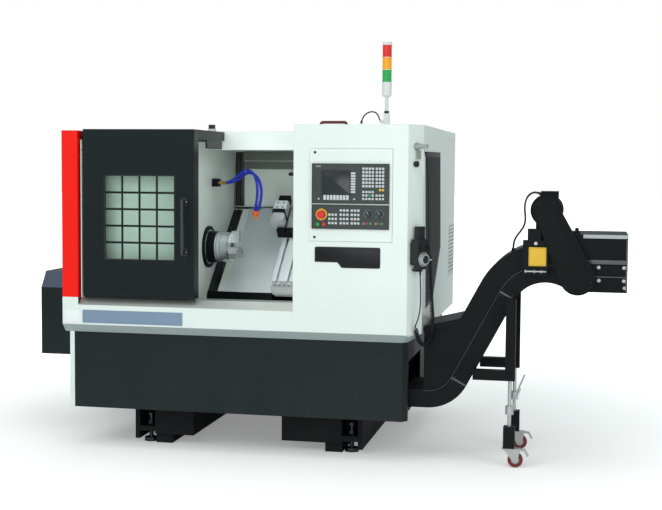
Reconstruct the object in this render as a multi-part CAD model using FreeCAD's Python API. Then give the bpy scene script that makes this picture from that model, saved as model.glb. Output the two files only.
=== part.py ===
"""CNC slant-bed lathe with chip conveyor, in millimetres, +Z up, front face towards -Y."""
import FreeCAD, Part
import math
import os

V = FreeCAD.Vector

# ---- casing -------------------------------------------------------------------------------------
SHEET = 3.0                  # sheet metal thickness of the casing
BODY_WIDTH = 1864.0          # left post to right side
BODY_DEPTH = 1534.0
BODY_TOP = 1680.0            # top of the right-hand housing
BODY_LOW = 648.0             # lower edge of the white front
LEFT_TOP = BODY_TOP - 32.0  # top of the post and of the left roof
CORNER_RUN_X = 64.0          # chamfered corner, across
CORNER_RUN_Y = 86.0          # chamfered corner, in depth
OPENING_RIGHT = 1227.0       # left edge of the right-hand housing
JAMB_DEPTH = 120.0
POST_WIDTH = 86.0
POST_DEPTH = 60.0
APRON_TOP = 750.0            # top of the white front apron, foot of the sill rail
SILL_TOP = 789.0
SILL_RUN = 38.0              # slope of the sill rail, in depth
SILL_DEPTH = 120.0
SKIRT_SETBACK = 39.0         # skirt behind the white front
SKIRT_TOP = 606.0
SKIRT_LOW = 210.0
SKIRT_LEFT = 49.0
SKIRT_RIGHT = BODY_WIDTH - 89.0
SKIRT_CORNER_X = 24.0
SKIRT_CORNER_Y = 31.0
MITRE = 1.8                  # shift of a mitred sheet edge at the corner
BAY_DOOR_TOP = 505.0         # top of the conveyor's opening in the right side
SIDE_INSET = 24.0            # lower left panel, in from the post's outer face
BEAM_Y = 556.0               # front of the roof beam
BEAM_DEPTH = 60.0
BEAM_LOW = BODY_TOP - 120.0
BEAM_TOP = BODY_TOP - 19.0
FIXED_LEFT = 103.0           # fixed front sheet behind the door
FIXED_RIGHT = 640.0
FIXED_Y = 90.0
FIXED_ROOF = BODY_TOP - 80.0
COVER_LEFT = -325.0          # belt and motor cover on the left
COVER_FRONT = 450.0
COVER_BACK = 1400.0
COVER_LOW = 416.0
COVER_SHOULDER = 789.0
COVER_TOP = 876.0
COVER_SLOPE = 63.0

# ---- base ---------------------------------------------------------------------------------------
BASE_LEFT = 62.0
BASE_RIGHT = BODY_WIDTH - 94.0
BASE_BACK = 1490.0
BASE_LOW = 212.0
BASE_TOP = 560.0
BASE_WALL = 40.0
BAY_FRONT = 100.0            # conveyor bay in the base
BAY_BACK = 545.0
BAY_LEFT = 250.0
FOOT_FRONT = 200.0
FOOT_BACK = 1400.0
FOOT_SOLE = 50.0             # underside of the upper block
LEFT_FOOT = 323.0            # outer plate of the left foot
LEFT_FOOT_END = 645.0
RIGHT_FOOT = BODY_WIDTH - 313.0  # outer plate of the right foot
RIGHT_FOOT_END = BODY_WIDTH - 740.0
FOOT_PLATE = 24.0
FOOT_POCKET = 85.0
FOOT_STEP = 90.0
SHELF_LOW = 62.0
SHELF_TOP = 90.0
POCKET_DEPTH = 130.0
SCREW_R = 12.0
SCREW_PLAY = 0.3
PAD_R = 36.0
PAD_H = 20.0
SCREW_TOP = 150.0

# ---- slanted bed and work space -----------------------------------------------------------------
SLANT = math.radians(40.0)   # slope of the bed
SLANT_Y = 554.0              # a point on the cover plane
SLANT_Z = 758.0
BED_DROP = 90.0              # bed surface below the cover plane
BED_FOOT_Y = 600.0
BED_UP = 640.0
BED_BACK = 1280.0
BED_RIGHT = 1700.0
RAIL_H = 26.0
RAIL_W = 30.0
RAIL_LOW_U = 120.0
RAIL_HIGH_U = 520.0
RAIL_LEFT = 650.0
WALL_X = 600.0               # face of the headstock wall
HEAD_LEFT = 130.0
HEAD_U0 = 75.0
HEAD_U1 = 340.0
HEAD_N = 300.0
SPINDLE_Y = 600.0
SPINDLE_Z = 1025.0
JOURNAL_R = 60.0
RUNNING = 0.05               # radial clearance of running fits
SPINDLE_BORE_R = 26.0
BAR_HOLE_R = 34.0            # hole for bar stock in the left side
FLANGE_R = 115.0
FLANGE_T = 12.0
ADAPTER_R = 86.0
ADAPTER_T = 46.0
PULLEY_R = 95.0
PULLEY_T = 44.0
PULLEY_GAP = 12.0
CHUCK_R = 82.5
CHUCK_T = 82.0
JAW_W = 34.0
JAW_BASE_W = 24.0
JAW_DEPTH = 12.0
JAW_OUT = 42.0               # how far a jaw stands out of the chuck
JAW_R0 = 26.0
JAW_R1 = 90.0
JAW_TRAVEL = 3.0
GAP = 0.3                    # clearance between parts that move past each other
LINER_Y = 1140.0
LINER_TOP = BODY_TOP - 120.0
COVER_BEND = 34.0            # lower bend of the cover leaves
COVER_UP = 730.0             # upper end of the cover leaves
LEAF_T = 2.0
LEAF_STEP = 2.6              # from one leaf to the next below it
LEAF_LEN = 190.0
LEAF_FLANGE = 60.0
SADDLE_LEFT = 970.0
SADDLE_W = 290.0
SADDLE_U0 = 40.0
SADDLE_U1 = 600.0
SADDLE_N = 55.0
SLIDE_LEFT = 985.0
SLIDE_W = 250.0
SLIDE_U0 = 30.0
SLIDE_U1 = 420.0
SLIDE_T = 44.0
SLOT_W = 14.0
SLOT_DEPTH = 16.0
SLOT_WIDE = 24.0
SLOT_FOOT = 10.0
CHUTE_Y0 = 500.0
CHUTE_Y1 = 572.0
CHUTE_Z0 = 590.0
CHUTE_Z1 = 690.0
CHUTE_LEFT = 604.0
CHUTE_RIGHT = 991.0

# ---- door ---------------------------------------------------------------------------------------
DOOR_LEFT = 114.0
DOOR_RIGHT = 710.0
DOOR_Y = 7.0
DOOR_DEPTH = 75.0
DOOR_LOW = 794.0
DOOR_TOP = BODY_TOP - 25.0
DOOR_SHEET = 3.0
HEAD_PLATE_BACK = 544.0
HEAD_FLANGE = 48.0
WINDOW_LEFT = 232.0
WINDOW_RIGHT = 605.0
WINDOW_LOW = 991.0
WINDOW_TOP = BODY_TOP - 262.0
WINDOW_RING = 12.0
GLASS_T = 6.0
GLASS_LAP = 8.0
GRILLE_COLUMNS = 4
GRILLE_ROWS = 5
GRILLE_BAR = 8.0
HANDLE_X = 662.0
HANDLE_LOW = 1022.0
HANDLE_TOP = 1301.0
HANDLE_OUT = 48.0
HANDLE_R = 9.0
HANGER_FRONT = 234.0
HANGER_BACK = 506.0

# ---- operator panel -----------------------------------------------------------------------------
PANEL_LEFT = BODY_WIDTH - 554.0
PANEL_RIGHT = BODY_WIDTH - 140.0
PANEL_LOW = BODY_TOP - 575.0
PANEL_TOP = BODY_TOP - 119.0
PANEL_T = 18.0
PANEL_PROUD = 4.0
PANEL_PLAY = 0.8
UNIT_LEFT = BODY_WIDTH - 541.0
UNIT_RIGHT = BODY_WIDTH - 155.0
UNIT_TOP = BODY_TOP - 192.0
UNIT_SPLIT = BODY_TOP - 391.0  # between the display unit and the key panel
UNIT_LOW = BODY_TOP - 514.0
UNIT_T = 9.0
UNIT_BACK = 30.0
ESTOP_X = BODY_WIDTH - 491.0
ESTOP_Z = BODY_TOP - 443.0
START_X = BODY_WIDTH - 508.0
STOP_X = BODY_WIDTH - 477.0
PUSH_Z = BODY_TOP - 491.0
FEED_X = BODY_WIDTH - 258.0
SPEED_X = BODY_WIDTH - 203.0
KNOB_Z = BODY_TOP - 438.0
ESTOP_R = 20.0
PUSH_R = 9.0
KNOB_R = 14.0
BUTTON_TRAVEL = 5.0

# ---- tower light --------------------------------------------------------------------------------
TOWER_X = BODY_WIDTH - 206.0
TOWER_Y = 200.0
TOWER_R = 24.0
POLE_R = 9.0
POLE_TOP = BODY_TOP + 150.0
TOWER_BODY_TOP = BODY_TOP + 216.0
LENS_H = 62.0
CAP_H = 14.0

# ---- pendant ------------------------------------------------------------------------------------
PENDANT_LOW = 975.0
PENDANT_TOP = 1122.0
PENDANT_W = 80.0
PENDANT_T = 46.0
HOLDER_T = 14.0
WHEEL_R = 27.0
WHEEL_T = 14.0
WHEEL_Z = 1024.0
SELECTOR_Z = 1082.0
SELECTOR_R = 9.0
SOCKET_Z = BODY_TOP - 106.0
PLUG_OUT = 64.0
LEAD_R = 4.0
COIL_R = 12.0

# ---- cabinet door at the back -------------------------------------------------------------------
CABINET_LEFT = BODY_WIDTH - 684.0
CABINET_RIGHT = BODY_WIDTH - 64.0
CABINET_LOW = 760.0
CABINET_TOP = BODY_TOP - 120.0
CABINET_T = 26.0
CABINET_LAP = 20.0           # of the door over the edge of its opening

# ---- chip conveyor ------------------------------------------------------------------------------
RISE = math.radians(62.0)    # slope of the rising part
TRACK = 90.0                 # depth of the belt track
DUCT = 188.0                 # depth of track and cover together
CONVEYOR_FRONT = 130.0
CONVEYOR_BACK = 505.0
CONVEYOR_LEFT = 330.0
CONVEYOR_LOW = 272.0
CONVEYOR_SHEET = 3.0
LOWER_BEND_X = BODY_WIDTH + 26.0  # start of the lower bend
LOWER_BEND_R = 220.5
UPPER_BEND_R = 168.0
UPPER_BEND_Z = 747.17        # centre of the upper bend
BENDS = LOWER_BEND_R + UPPER_BEND_R
RISE_LEN = (UPPER_BEND_Z - CONVEYOR_LOW - LOWER_BEND_R + BENDS * math.cos(RISE)) / math.sin(RISE)
HEAD_X = round(LOWER_BEND_X + BENDS * math.sin(RISE) + RISE_LEN * math.cos(RISE), 1)
HEAD_X0 = HEAD_X + 109.6
HEAD_X1 = HEAD_X + 387.6
HEAD_LOW = 874.0
HEAD_TOP = 1133.0
HEAD_LID = 22.0
CHUTE_OPEN_LEFT = HEAD_X + 174.6
HOPPER_LEFT = BODY_WIDTH + 8.0
HOPPER_TOP = 682.0
GUARD_X0 = HEAD_X - 4.4
GUARD_Z0 = 1274.0
GUARD_R0 = 60.0
GUARD_X1 = HEAD_X + 151.6
GUARD_Z1 = 945.0
GUARD_R1 = 85.0
GUARD_T = 42.0
MOTOR_R = 76.0
MOTOR_LEN = 230.0
BRACKET_LEFT = HEAD_X - 112.4
BRACKET_RIGHT = HEAD_X + 11.6
BRACKET_LOW = 949.0
BRACKET_TOP = 1123.0
BRACKET_T = 34.0
LEG_X = HEAD_X - 163.4
LEG_SIDE = 48.0
LEG_LOW = 430.0
LEG_TOP = 835.0
STRUT_Z = 455.0
ROD_R = 9.0
NUT_R = 20.0
SLEEVE_W = 56.0
SLEEVE_LOW = 96.0
SLEEVE_TOP = 202.0
CASTER_PLATE_T = 6.0
WHEEL_RADIUS = 37.5
WHEEL_WIDTH = 24.0
CASTER_TRAIL = 32.0

# ---- coolant ------------------------------------------------------------------------------------
COOLANT_Y = 681.0
COOLANT_Z = 1379.0
COOLANT_R = 8.0


def box(x0, x1, y0, y1, z0, z1):
    """Box between two corners."""
    return Part.makeBox(x1 - x0, y1 - y0, z1 - z0, V(x0, y0, z0))


def rod(p, q, r):
    """Round bar of radius r from p to q."""
    p, q = V(*p), V(*q)
    return Part.makeCylinder(r, p.distanceToPoint(q), p, q - p)


def prism(points, direction):
    """Straight prism over a polygon."""
    face = Part.Face(Part.makePolygon([V(*p) for p in points + points[:1]]))
    return face.extrude(V(*direction))


def plan(points, z0, z1):
    """Prism over an outline in X and Y."""
    return prism([(x, y, z0) for x, y in points], (0, 0, z1 - z0))


def side(points, x0, x1):
    """Prism over an outline in Y and Z."""
    return prism([(x0, y, z) for y, z in points], (x1 - x0, 0, 0))


def front(points, y0, y1):
    """Prism over an outline in X and Z."""
    return prism([(x, y0, z) for x, z in points], (0, y1 - y0, 0))


def slant(u, n):
    """Y and Z of a point u up the slope and n above the cover plane."""
    return (SLANT_Y + u * math.cos(SLANT) - n * math.sin(SLANT),
            SLANT_Z + u * math.sin(SLANT) + n * math.cos(SLANT))


def slab(x0, x1, u0, u1, n0, n1):
    """Block lying on the slope."""
    return side([slant(u0, n0), slant(u1, n0), slant(u1, n1), slant(u0, n1)], x0, x1)


def fused(shapes):
    """One solid from touching or overlapping solids."""
    return shapes[0].fuse(shapes[1:]).removeSplitter()


def group(shapes):
    """Separate solids in one node."""
    return Part.makeCompound(shapes)


def corner_point(t, out, z):
    """Point on the chamfered corner: t along it from the front, out from its face."""
    length = math.hypot(CORNER_RUN_X, CORNER_RUN_Y)
    ax, ay = CORNER_RUN_X / length, CORNER_RUN_Y / length
    x0 = BODY_WIDTH - CORNER_RUN_X
    return (x0 + t * ax + out * ay, t * ay - out * ax, z)


def corner_block(t0, t1, out0, out1, z0, z1):
    """Block standing on the chamfered corner."""
    points = [corner_point(t, out, z0)[:2] for t, out in
              ((t0, out0), (t1, out0), (t1, out1), (t0, out1))]
    return plan(points, z0, z1)


def corner_rod(t, z, out0, out1, r):
    """Round bar square to the chamfered corner."""
    return rod(corner_point(t, out0, z), corner_point(t, out1, z), r)


def hexagon(x, y, z0, z1, flats):
    """Hexagonal prism standing on z0."""
    r = flats / math.sqrt(3)
    turns = [math.radians(60 * k) for k in range(6)]
    return plan([(x + r * math.cos(a), y + r * math.sin(a)) for a in turns], z0, z1)


def cord(name, points, r):
    """Round tube along straight runs joined by tangent arcs as large as the runs allow."""
    route = [V(*p) for p in points]
    edges = []
    radii = []
    at = route[0]
    length = 0.0
    for before, point, after in zip(route, route[1:], route[2:]):
        a = (before - point).normalize()
        b = (after - point).normalize()
        half = (math.pi - a.getAngle(b)) / 2
        tangent = 0.45 * min(before.distanceToPoint(point), after.distanceToPoint(point))
        radius = tangent / math.tan(half)
        start = point + a * tangent
        end = point + b * tangent
        centre = point + (a + b).normalize() * (radius / math.cos(half))
        middle = centre + (point - centre).normalize() * radius
        edges += [Part.LineSegment(at, start).toShape(), Part.Arc(start, middle, end).toShape()]
        length += at.distanceToPoint(start) + radius * 2 * half
        radii.append(radius)
        at = end
    edges.append(Part.LineSegment(at, route[-1]).toShape())
    length += at.distanceToPoint(route[-1])
    wire = Part.Wire(edges)
    ring = Part.Wire([Part.makeCircle(r, route[0], route[1] - route[0])])
    tube = wire.makePipeShell([ring], True, False)
    ratio = tube.Volume / (math.pi * r * r * length)
    print(name, "radii", [round(x) for x in radii], "volume ratio", round(ratio, 4))
    return tube


# ---- base and bed -------------------------------------------------------------------------------
def foot(outer, inner, sign):
    """Sled foot from its outer plate towards the middle of the machine."""
    plate = outer + sign * FOOT_PLATE
    block = plate + sign * FOOT_POCKET
    step = block + sign * FOOT_STEP

    def span(a, b, y0, y1, z0, z1):
        return box(min(a, b), max(a, b), y0, y1, z0, z1)

    solid = fused([span(outer, plate, FOOT_FRONT, FOOT_BACK, SHELF_LOW - 40, BASE_LOW),
                   span(block, inner, FOOT_FRONT, FOOT_BACK, FOOT_SOLE, BASE_LOW),
                   span(block, step, FOOT_FRONT + 20, FOOT_BACK - 20, 0, FOOT_SOLE),
                   span(plate, block, FOOT_FRONT + POCKET_DEPTH, FOOT_BACK - POCKET_DEPTH,
                        SHELF_LOW, BASE_LOW),
                   span(plate, block, FOOT_FRONT, FOOT_BACK, SHELF_LOW, SHELF_TOP)])
    x = (plate + block) / 2
    for y in screw_rows():
        solid = solid.cut(rod((x, y, SHELF_LOW - 1), (x, y, SHELF_TOP + 1), SCREW_R + SCREW_PLAY))
    return solid


def screw_rows():
    """Y of the levelling screws."""
    return (FOOT_FRONT + POCKET_DEPTH / 2, FOOT_BACK - POCKET_DEPTH / 2)


def base_casting():
    body = box(BASE_LEFT, BASE_RIGHT, SKIRT_SETBACK + SHEET, BASE_BACK, BASE_LOW, BASE_TOP)
    bay = box(BAY_LEFT, BASE_RIGHT + 1, BAY_FRONT, BAY_BACK, CONVEYOR_LOW, BASE_TOP + 1)
    core = box(BASE_LEFT + BASE_WALL, BASE_RIGHT - BASE_WALL, BAY_BACK + BASE_WALL,
               BASE_BACK - BASE_WALL, BASE_LOW - 1, BASE_TOP - BASE_WALL)
    body = body.cut(group([bay])).cut(group([core]))
    return fused([body, foot(LEFT_FOOT, LEFT_FOOT_END, 1), foot(RIGHT_FOOT, RIGHT_FOOT_END, -1)])


def levelling_screws():
    screws = []
    offset = FOOT_PLATE + FOOT_POCKET / 2
    for x in (LEFT_FOOT + offset, RIGHT_FOOT - offset):
        for y in screw_rows():
            screws.append(fused([rod((x, y, 0), (x, y, PAD_H), PAD_R),
                                 rod((x, y, PAD_H), (x, y, SCREW_TOP), SCREW_R),
                                 hexagon(x, y, SHELF_TOP, SHELF_TOP + 18, 36),
                                 hexagon(x, y, SCREW_TOP - 14, SCREW_TOP, 30)]))
    return group(screws)


def bed_castings():
    bed = side([(BED_FOOT_Y, BASE_TOP), slant(20, -BED_DROP), slant(BED_UP, -BED_DROP),
                (BED_BACK, slant(BED_UP, -BED_DROP)[1]), (BED_BACK, BASE_TOP)],
               HEAD_LEFT, BED_RIGHT)
    head = slab(HEAD_LEFT, WALL_X - SHEET, HEAD_U0, HEAD_U1, -BED_DROP, HEAD_N)
    bore = rod((HEAD_LEFT - 1, SPINDLE_Y, SPINDLE_Z), (WALL_X, SPINDLE_Y, SPINDLE_Z),
               JOURNAL_R + RUNNING)
    rails = [slab(RAIL_LEFT, BED_RIGHT, u - RAIL_W / 2, u + RAIL_W / 2,
                  -BED_DROP, RAIL_H - BED_DROP) for u in (RAIL_LOW_U, RAIL_HIGH_U)]
    return group([bed, head.cut(bore)] + rails)


# ---- casing -------------------------------------------------------------------------------------
def skirt_front():
    y = SKIRT_SETBACK
    cx, cy = SKIRT_RIGHT + SKIRT_CORNER_X, y + SKIRT_CORNER_Y
    return plan([(SKIRT_LEFT, y), (SKIRT_RIGHT, y), (cx, cy), (cx - SHEET, cy + MITRE),
                 (SKIRT_RIGHT - MITRE, y + SHEET), (SKIRT_LEFT, y + SHEET)], SKIRT_LOW, SKIRT_TOP)


def bevel_sheets():
    """Sloping sheets between the skirt and the white front, mitred round the corner."""
    right = BODY_WIDTH - CORNER_RUN_X
    y = SKIRT_SETBACK
    upper = [(0, 0), (right, 0), (BODY_WIDTH, CORNER_RUN_Y), (BODY_WIDTH, BODY_DEPTH)]
    lower = [(0, y), (SKIRT_RIGHT, y), (SKIRT_RIGHT + SKIRT_CORNER_X, y + SKIRT_CORNER_Y),
             (SKIRT_RIGHT + SKIRT_CORNER_X, BODY_DEPTH)]
    inward = [(0, SHEET), (-MITRE, SHEET), (-SHEET, MITRE), (-SHEET, 0)]
    sheets = []
    for k in range(3):
        rings = []
        for outline, z in ((upper, BODY_LOW), (lower, SKIRT_TOP)):
            corners = [outline[k], outline[k + 1]]
            corners += [(outline[i][0] + inward[i][0], outline[i][1] + inward[i][1]) for i in (k + 1, k)]
            rings.append(Part.makePolygon([V(x, y, z) for x, y in corners + corners[:1]]))
        sheets.append(Part.makeLoft(rings, True, True))
    return sheets


def left_side():
    y = SKIRT_SETBACK + SHEET
    lower = fused([box(SIDE_INSET, SIDE_INSET + SHEET, y, BODY_DEPTH, SKIRT_LOW, BODY_LOW),
                   box(SIDE_INSET, SKIRT_LEFT, SKIRT_SETBACK, y, SKIRT_LOW, SKIRT_TOP)])
    upper = fused([box(0, SHEET, POST_DEPTH, BODY_DEPTH, BODY_LOW, LEFT_TOP),
                   box(0, SIDE_INSET + SHEET, SHEET + SKIRT_SETBACK, BODY_DEPTH,
                       BODY_LOW, BODY_LOW + SHEET),
                   box(0, SHEET, SHEET, POST_DEPTH, BODY_LOW, SILL_TOP)])
    bar_hole = rod((-1, SPINDLE_Y, SPINDLE_Z), (SHEET + 1, SPINDLE_Y, SPINDLE_Z), BAR_HOLE_R)
    return [fused([lower, upper]).cut(bar_hole)]


def lower_right():
    x = SKIRT_RIGHT + SKIRT_CORNER_X
    y = SKIRT_SETBACK + SKIRT_CORNER_Y + MITRE
    panel = box(x - SHEET, x, y, BODY_DEPTH, SKIRT_LOW, SKIRT_TOP)
    return [panel.cut(box(x - 10, x + 10, BAY_FRONT, BAY_BACK, SKIRT_LOW - 1, BAY_DOOR_TOP))]


def fixed_front():
    sheet = fused([box(FIXED_LEFT, FIXED_RIGHT, FIXED_Y, FIXED_Y + SHEET, SILL_TOP, FIXED_ROOF),
                   box(FIXED_LEFT, FIXED_LEFT + SHEET, SHEET, FIXED_Y, SILL_TOP, FIXED_ROOF),
                   box(FIXED_LEFT, FIXED_RIGHT, FIXED_Y, BEAM_Y, FIXED_ROOF - SHEET, FIXED_ROOF)])
    return sheet


def roof():
    beam = box(SHEET, OPENING_RIGHT, BEAM_Y, BEAM_Y + BEAM_DEPTH, BEAM_LOW, BEAM_TOP)
    beam = beam.cut(box(2 * SHEET, OPENING_RIGHT - SHEET, BEAM_Y + SHEET,
                        BEAM_Y + BEAM_DEPTH + 1, BEAM_LOW + SHEET, BEAM_TOP - SHEET))
    rear = box(SHEET, OPENING_RIGHT, BEAM_Y + BEAM_DEPTH, BODY_DEPTH - SHEET,
               LEFT_TOP - SHEET, LEFT_TOP)
    side_roof = box(SHEET, FIXED_LEFT, POST_DEPTH, BEAM_Y, LEFT_TOP - SHEET, LEFT_TOP)
    return [fused([beam, rear, side_roof])]


def casing_panels():
    right = BODY_WIDTH - CORNER_RUN_X
    apron = fused([box(0, OPENING_RIGHT, 0, SHEET, BODY_LOW, APRON_TOP),
                   box(0, POST_WIDTH, 0, SHEET, APRON_TOP, SILL_TOP)])
    rear = fused([box(0, BODY_WIDTH, BODY_DEPTH, BODY_DEPTH + SHEET, BODY_LOW, LEFT_TOP),
                  box(SIDE_INSET, right, BODY_DEPTH, BODY_DEPTH + SHEET, SKIRT_LOW, BODY_LOW),
                  box(OPENING_RIGHT, BODY_WIDTH, BODY_DEPTH, BODY_DEPTH + SHEET,
                      LEFT_TOP, BODY_TOP)])
    lap = CABINET_LAP
    rear = rear.cut(box(CABINET_LEFT + lap, CABINET_RIGHT - lap, BODY_DEPTH - 1, BODY_DEPTH + SHEET + 1,
                        CABINET_LOW + lap, CABINET_TOP - lap))
    return group([apron, rear, fixed_front()] + bevel_sheets() + left_side() + lower_right() + roof())


def right_housing():
    right = BODY_WIDTH - CORNER_RUN_X
    outer = plan([(OPENING_RIGHT, 0), (right, 0), (BODY_WIDTH, CORNER_RUN_Y),
                  (BODY_WIDTH, BODY_DEPTH), (OPENING_RIGHT, BODY_DEPTH)], BODY_LOW, BODY_TOP)
    lean = SHEET * (math.hypot(CORNER_RUN_X, CORNER_RUN_Y) - CORNER_RUN_X) / CORNER_RUN_Y
    fall = SHEET * (math.hypot(CORNER_RUN_X, CORNER_RUN_Y) - CORNER_RUN_Y) / CORNER_RUN_X
    inner = plan([(OPENING_RIGHT + SHEET, SHEET), (right - lean, SHEET),
                  (BODY_WIDTH - SHEET, CORNER_RUN_Y + fall), (BODY_WIDTH - SHEET, BODY_DEPTH + 1),
                  (OPENING_RIGHT + SHEET, BODY_DEPTH + 1)], BODY_LOW - 1, BODY_TOP - SHEET)
    side_open = box(OPENING_RIGHT - 1, OPENING_RIGHT + SHEET + 1, JAMB_DEPTH, BODY_DEPTH + 1,
                    BODY_LOW - 1, LEFT_TOP)
    window = box(PANEL_LEFT - PANEL_PLAY, PANEL_RIGHT + PANEL_PLAY, -1, SHEET + 1,
                 PANEL_LOW - PANEL_PLAY, PANEL_TOP + PANEL_PLAY)
    return outer.cut(inner).cut(side_open).cut(window)


def sill_rail():
    t = SHEET
    return side([(0, APRON_TOP), (SILL_RUN, SILL_TOP), (SILL_DEPTH, SILL_TOP), (SILL_DEPTH, APRON_TOP),
                 (SILL_DEPTH - t, APRON_TOP), (SILL_DEPTH - t, SILL_TOP - t),
                 (SILL_RUN + 1, SILL_TOP - t), (t, APRON_TOP)], POST_WIDTH, OPENING_RIGHT)


def corner_post():
    outer = box(0, POST_WIDTH, 0, POST_DEPTH, SILL_TOP, LEFT_TOP)
    return outer.cut(box(SHEET, POST_WIDTH - SHEET, SHEET, POST_DEPTH + 1, SILL_TOP - 1,
                         LEFT_TOP - SHEET))


def cover_outline(inset):
    """Outline of the motor cover in Y and Z."""
    return [(COVER_FRONT + inset, COVER_LOW + inset), (COVER_FRONT + inset, COVER_SHOULDER),
            (COVER_FRONT + COVER_SLOPE + inset / 2, COVER_TOP - inset),
            (COVER_BACK - inset, COVER_TOP - inset), (COVER_BACK - inset, COVER_LOW + inset)]


def motor_cover():
    outer = side(cover_outline(0), COVER_LEFT, SIDE_INSET)
    inner = side(cover_outline(SHEET), COVER_LEFT + SHEET, SIDE_INSET + 1)
    above = box(0, SIDE_INSET + 1, COVER_FRONT - 1, COVER_BACK + 1, BODY_LOW, COVER_TOP + 1)
    return outer.cut(inner).cut(above)


def cabinet_door():
    y = BODY_DEPTH + SHEET + GAP
    door = box(CABINET_LEFT, CABINET_RIGHT, y, y + CABINET_T, CABINET_LOW, CABINET_TOP)
    door = door.cut(box(CABINET_LEFT + SHEET, CABINET_RIGHT - SHEET, y - 1, y + CABINET_T - SHEET,
                        CABINET_LOW + SHEET, CABINET_TOP - SHEET))
    z = (CABINET_LOW + CABINET_TOP) / 2
    x = CABINET_LEFT + 50
    handle = fused([box(x - 14, x + 14, y + CABINET_T, y + CABINET_T + 8, z - 60, z + 60),
                    box(x - 9, x + 9, y + CABINET_T + 8, y + CABINET_T + 24, z - 45, z + 20)])
    return fused([door, handle])


# ---- work space ---------------------------------------------------------------------------------
def spindle_wall():
    low = 700.0
    points = [slant(COVER_BEND, -3 * LEAF_STEP), slant(COVER_UP, -3 * LEAF_STEP), (LINER_Y, LINER_TOP),
              (BEAM_Y, LINER_TOP), (BEAM_Y, FIXED_ROOF - SHEET - GAP),
              (SILL_DEPTH + 10, FIXED_ROOF - SHEET - GAP), (SILL_DEPTH + 10, low), (560, low)]
    wall = side(points, WALL_X - SHEET, WALL_X)
    hole = rod((WALL_X - 10, SPINDLE_Y, SPINDLE_Z), (WALL_X + 10, SPINDLE_Y, SPINDLE_Z), JOURNAL_R + 1)
    return wall.cut(hole)


def leaf(x0, x1, level):
    """Cover leaf: slanted sheet with its lower edge bent down."""
    n1 = -level * LEAF_STEP
    n0 = n1 - LEAF_T
    sheet = slab(x0, x1, COVER_BEND + level * LEAF_STEP * 1.4, COVER_UP - level * 3, n0, n1)
    y, z = slant(COVER_BEND + level * LEAF_STEP * 1.4, n1)
    flange = box(x0, x1, y, y + LEAF_T, z - LEAF_FLANGE, z - 0.5)
    return fused([sheet, flange])


def rear_liner():
    fixed = leaf(WALL_X, WALL_X + LEAF_LEN, 2)
    back = box(WALL_X, BODY_WIDTH - SHEET, LINER_Y, LINER_Y + SHEET,
               slant(COVER_UP, 0)[1] + 6, LINER_TOP)
    top = box(WALL_X, OPENING_RIGHT, BEAM_Y + BEAM_DEPTH, LINER_Y + SHEET, LINER_TOP,
              LINER_TOP + SHEET)
    hem = box(WALL_X, WALL_X + LEAF_LEN, slant(COVER_UP, 0)[0] - 12, LINER_Y,
              slant(COVER_UP, 0)[1] + 6, slant(COVER_UP, 0)[1] + 6 + SHEET)
    return group([fixed, fused([back, top, hem])])


def saddle():
    x0, x1 = SADDLE_LEFT, SADDLE_LEFT + SADDLE_W
    n0 = RAIL_H - BED_DROP + GAP
    body = slab(x0, x1, SADDLE_U0 + 30, SADDLE_U1, n0, SADDLE_N)
    nose = slab(x0, x1, SADDLE_U0, SADDLE_U0 + 31, -20, SADDLE_N)
    skirts = [slab(x0, x1, u0, u1, n0 - RAIL_H + 4, n0 + 1) for u0, u1 in
              ((RAIL_LOW_U + RAIL_W / 2 + GAP, RAIL_LOW_U + RAIL_W),
               (RAIL_HIGH_U - RAIL_W, RAIL_HIGH_U - RAIL_W / 2 - GAP))]
    return fused([body, nose] + skirts)


def cross_slide():
    n0 = SADDLE_N + GAP
    n1 = n0 + SLIDE_T
    table = slab(SLIDE_LEFT, SLIDE_LEFT + SLIDE_W, SLIDE_U0, SLIDE_U1, n0, n1)
    for k in range(4):
        x = SLIDE_LEFT + SLIDE_W * (k + 0.5) / 4
        table = table.cut(slab(x - SLOT_W / 2, x + SLOT_W / 2, SLIDE_U0 - 1, SLIDE_U1 + 1,
                               n1 - SLOT_DEPTH, n1 + 1))
        table = table.cut(slab(x - SLOT_WIDE / 2, x + SLOT_WIDE / 2, SLIDE_U0 - 1, SLIDE_U1 + 1,
                               n1 - SLOT_DEPTH - SLOT_FOOT, n1 - SLOT_DEPTH + 0.5))
    return table


def tool_post():
    """Tool blocks stacked up the slope at the left edge of the cross slide."""
    n = SADDLE_N + GAP + SLIDE_T
    x0, x1 = SLIDE_LEFT - 62, SLIDE_LEFT + 14
    foot_plate = slab(SLIDE_LEFT - 30, SLIDE_LEFT + 60, 372, SLIDE_U1, n, n + 34)
    arm = slab(SLIDE_LEFT - 30, SLIDE_LEFT + 14, 372, 570, n + 34, n + 62)
    lower = slab(x0, x1, 392, 440, n + 62, n + 118)
    middle = slab(x0 + 4, x1 - 4, 440, 474, n + 62, n + 128)
    upper = slab(x0 + 2, x1, 474, 548, n + 62, n + 122)
    top = slab(x0 + 14, x1 + 4, 548, 606, n + 70, n + 110)
    tip = slab(x0 - 16, x0 + 2, 404, 424, n + 70, n + 92)
    return group([fused([foot_plate, arm]), fused([lower, tip]), middle, upper, top])


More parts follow.
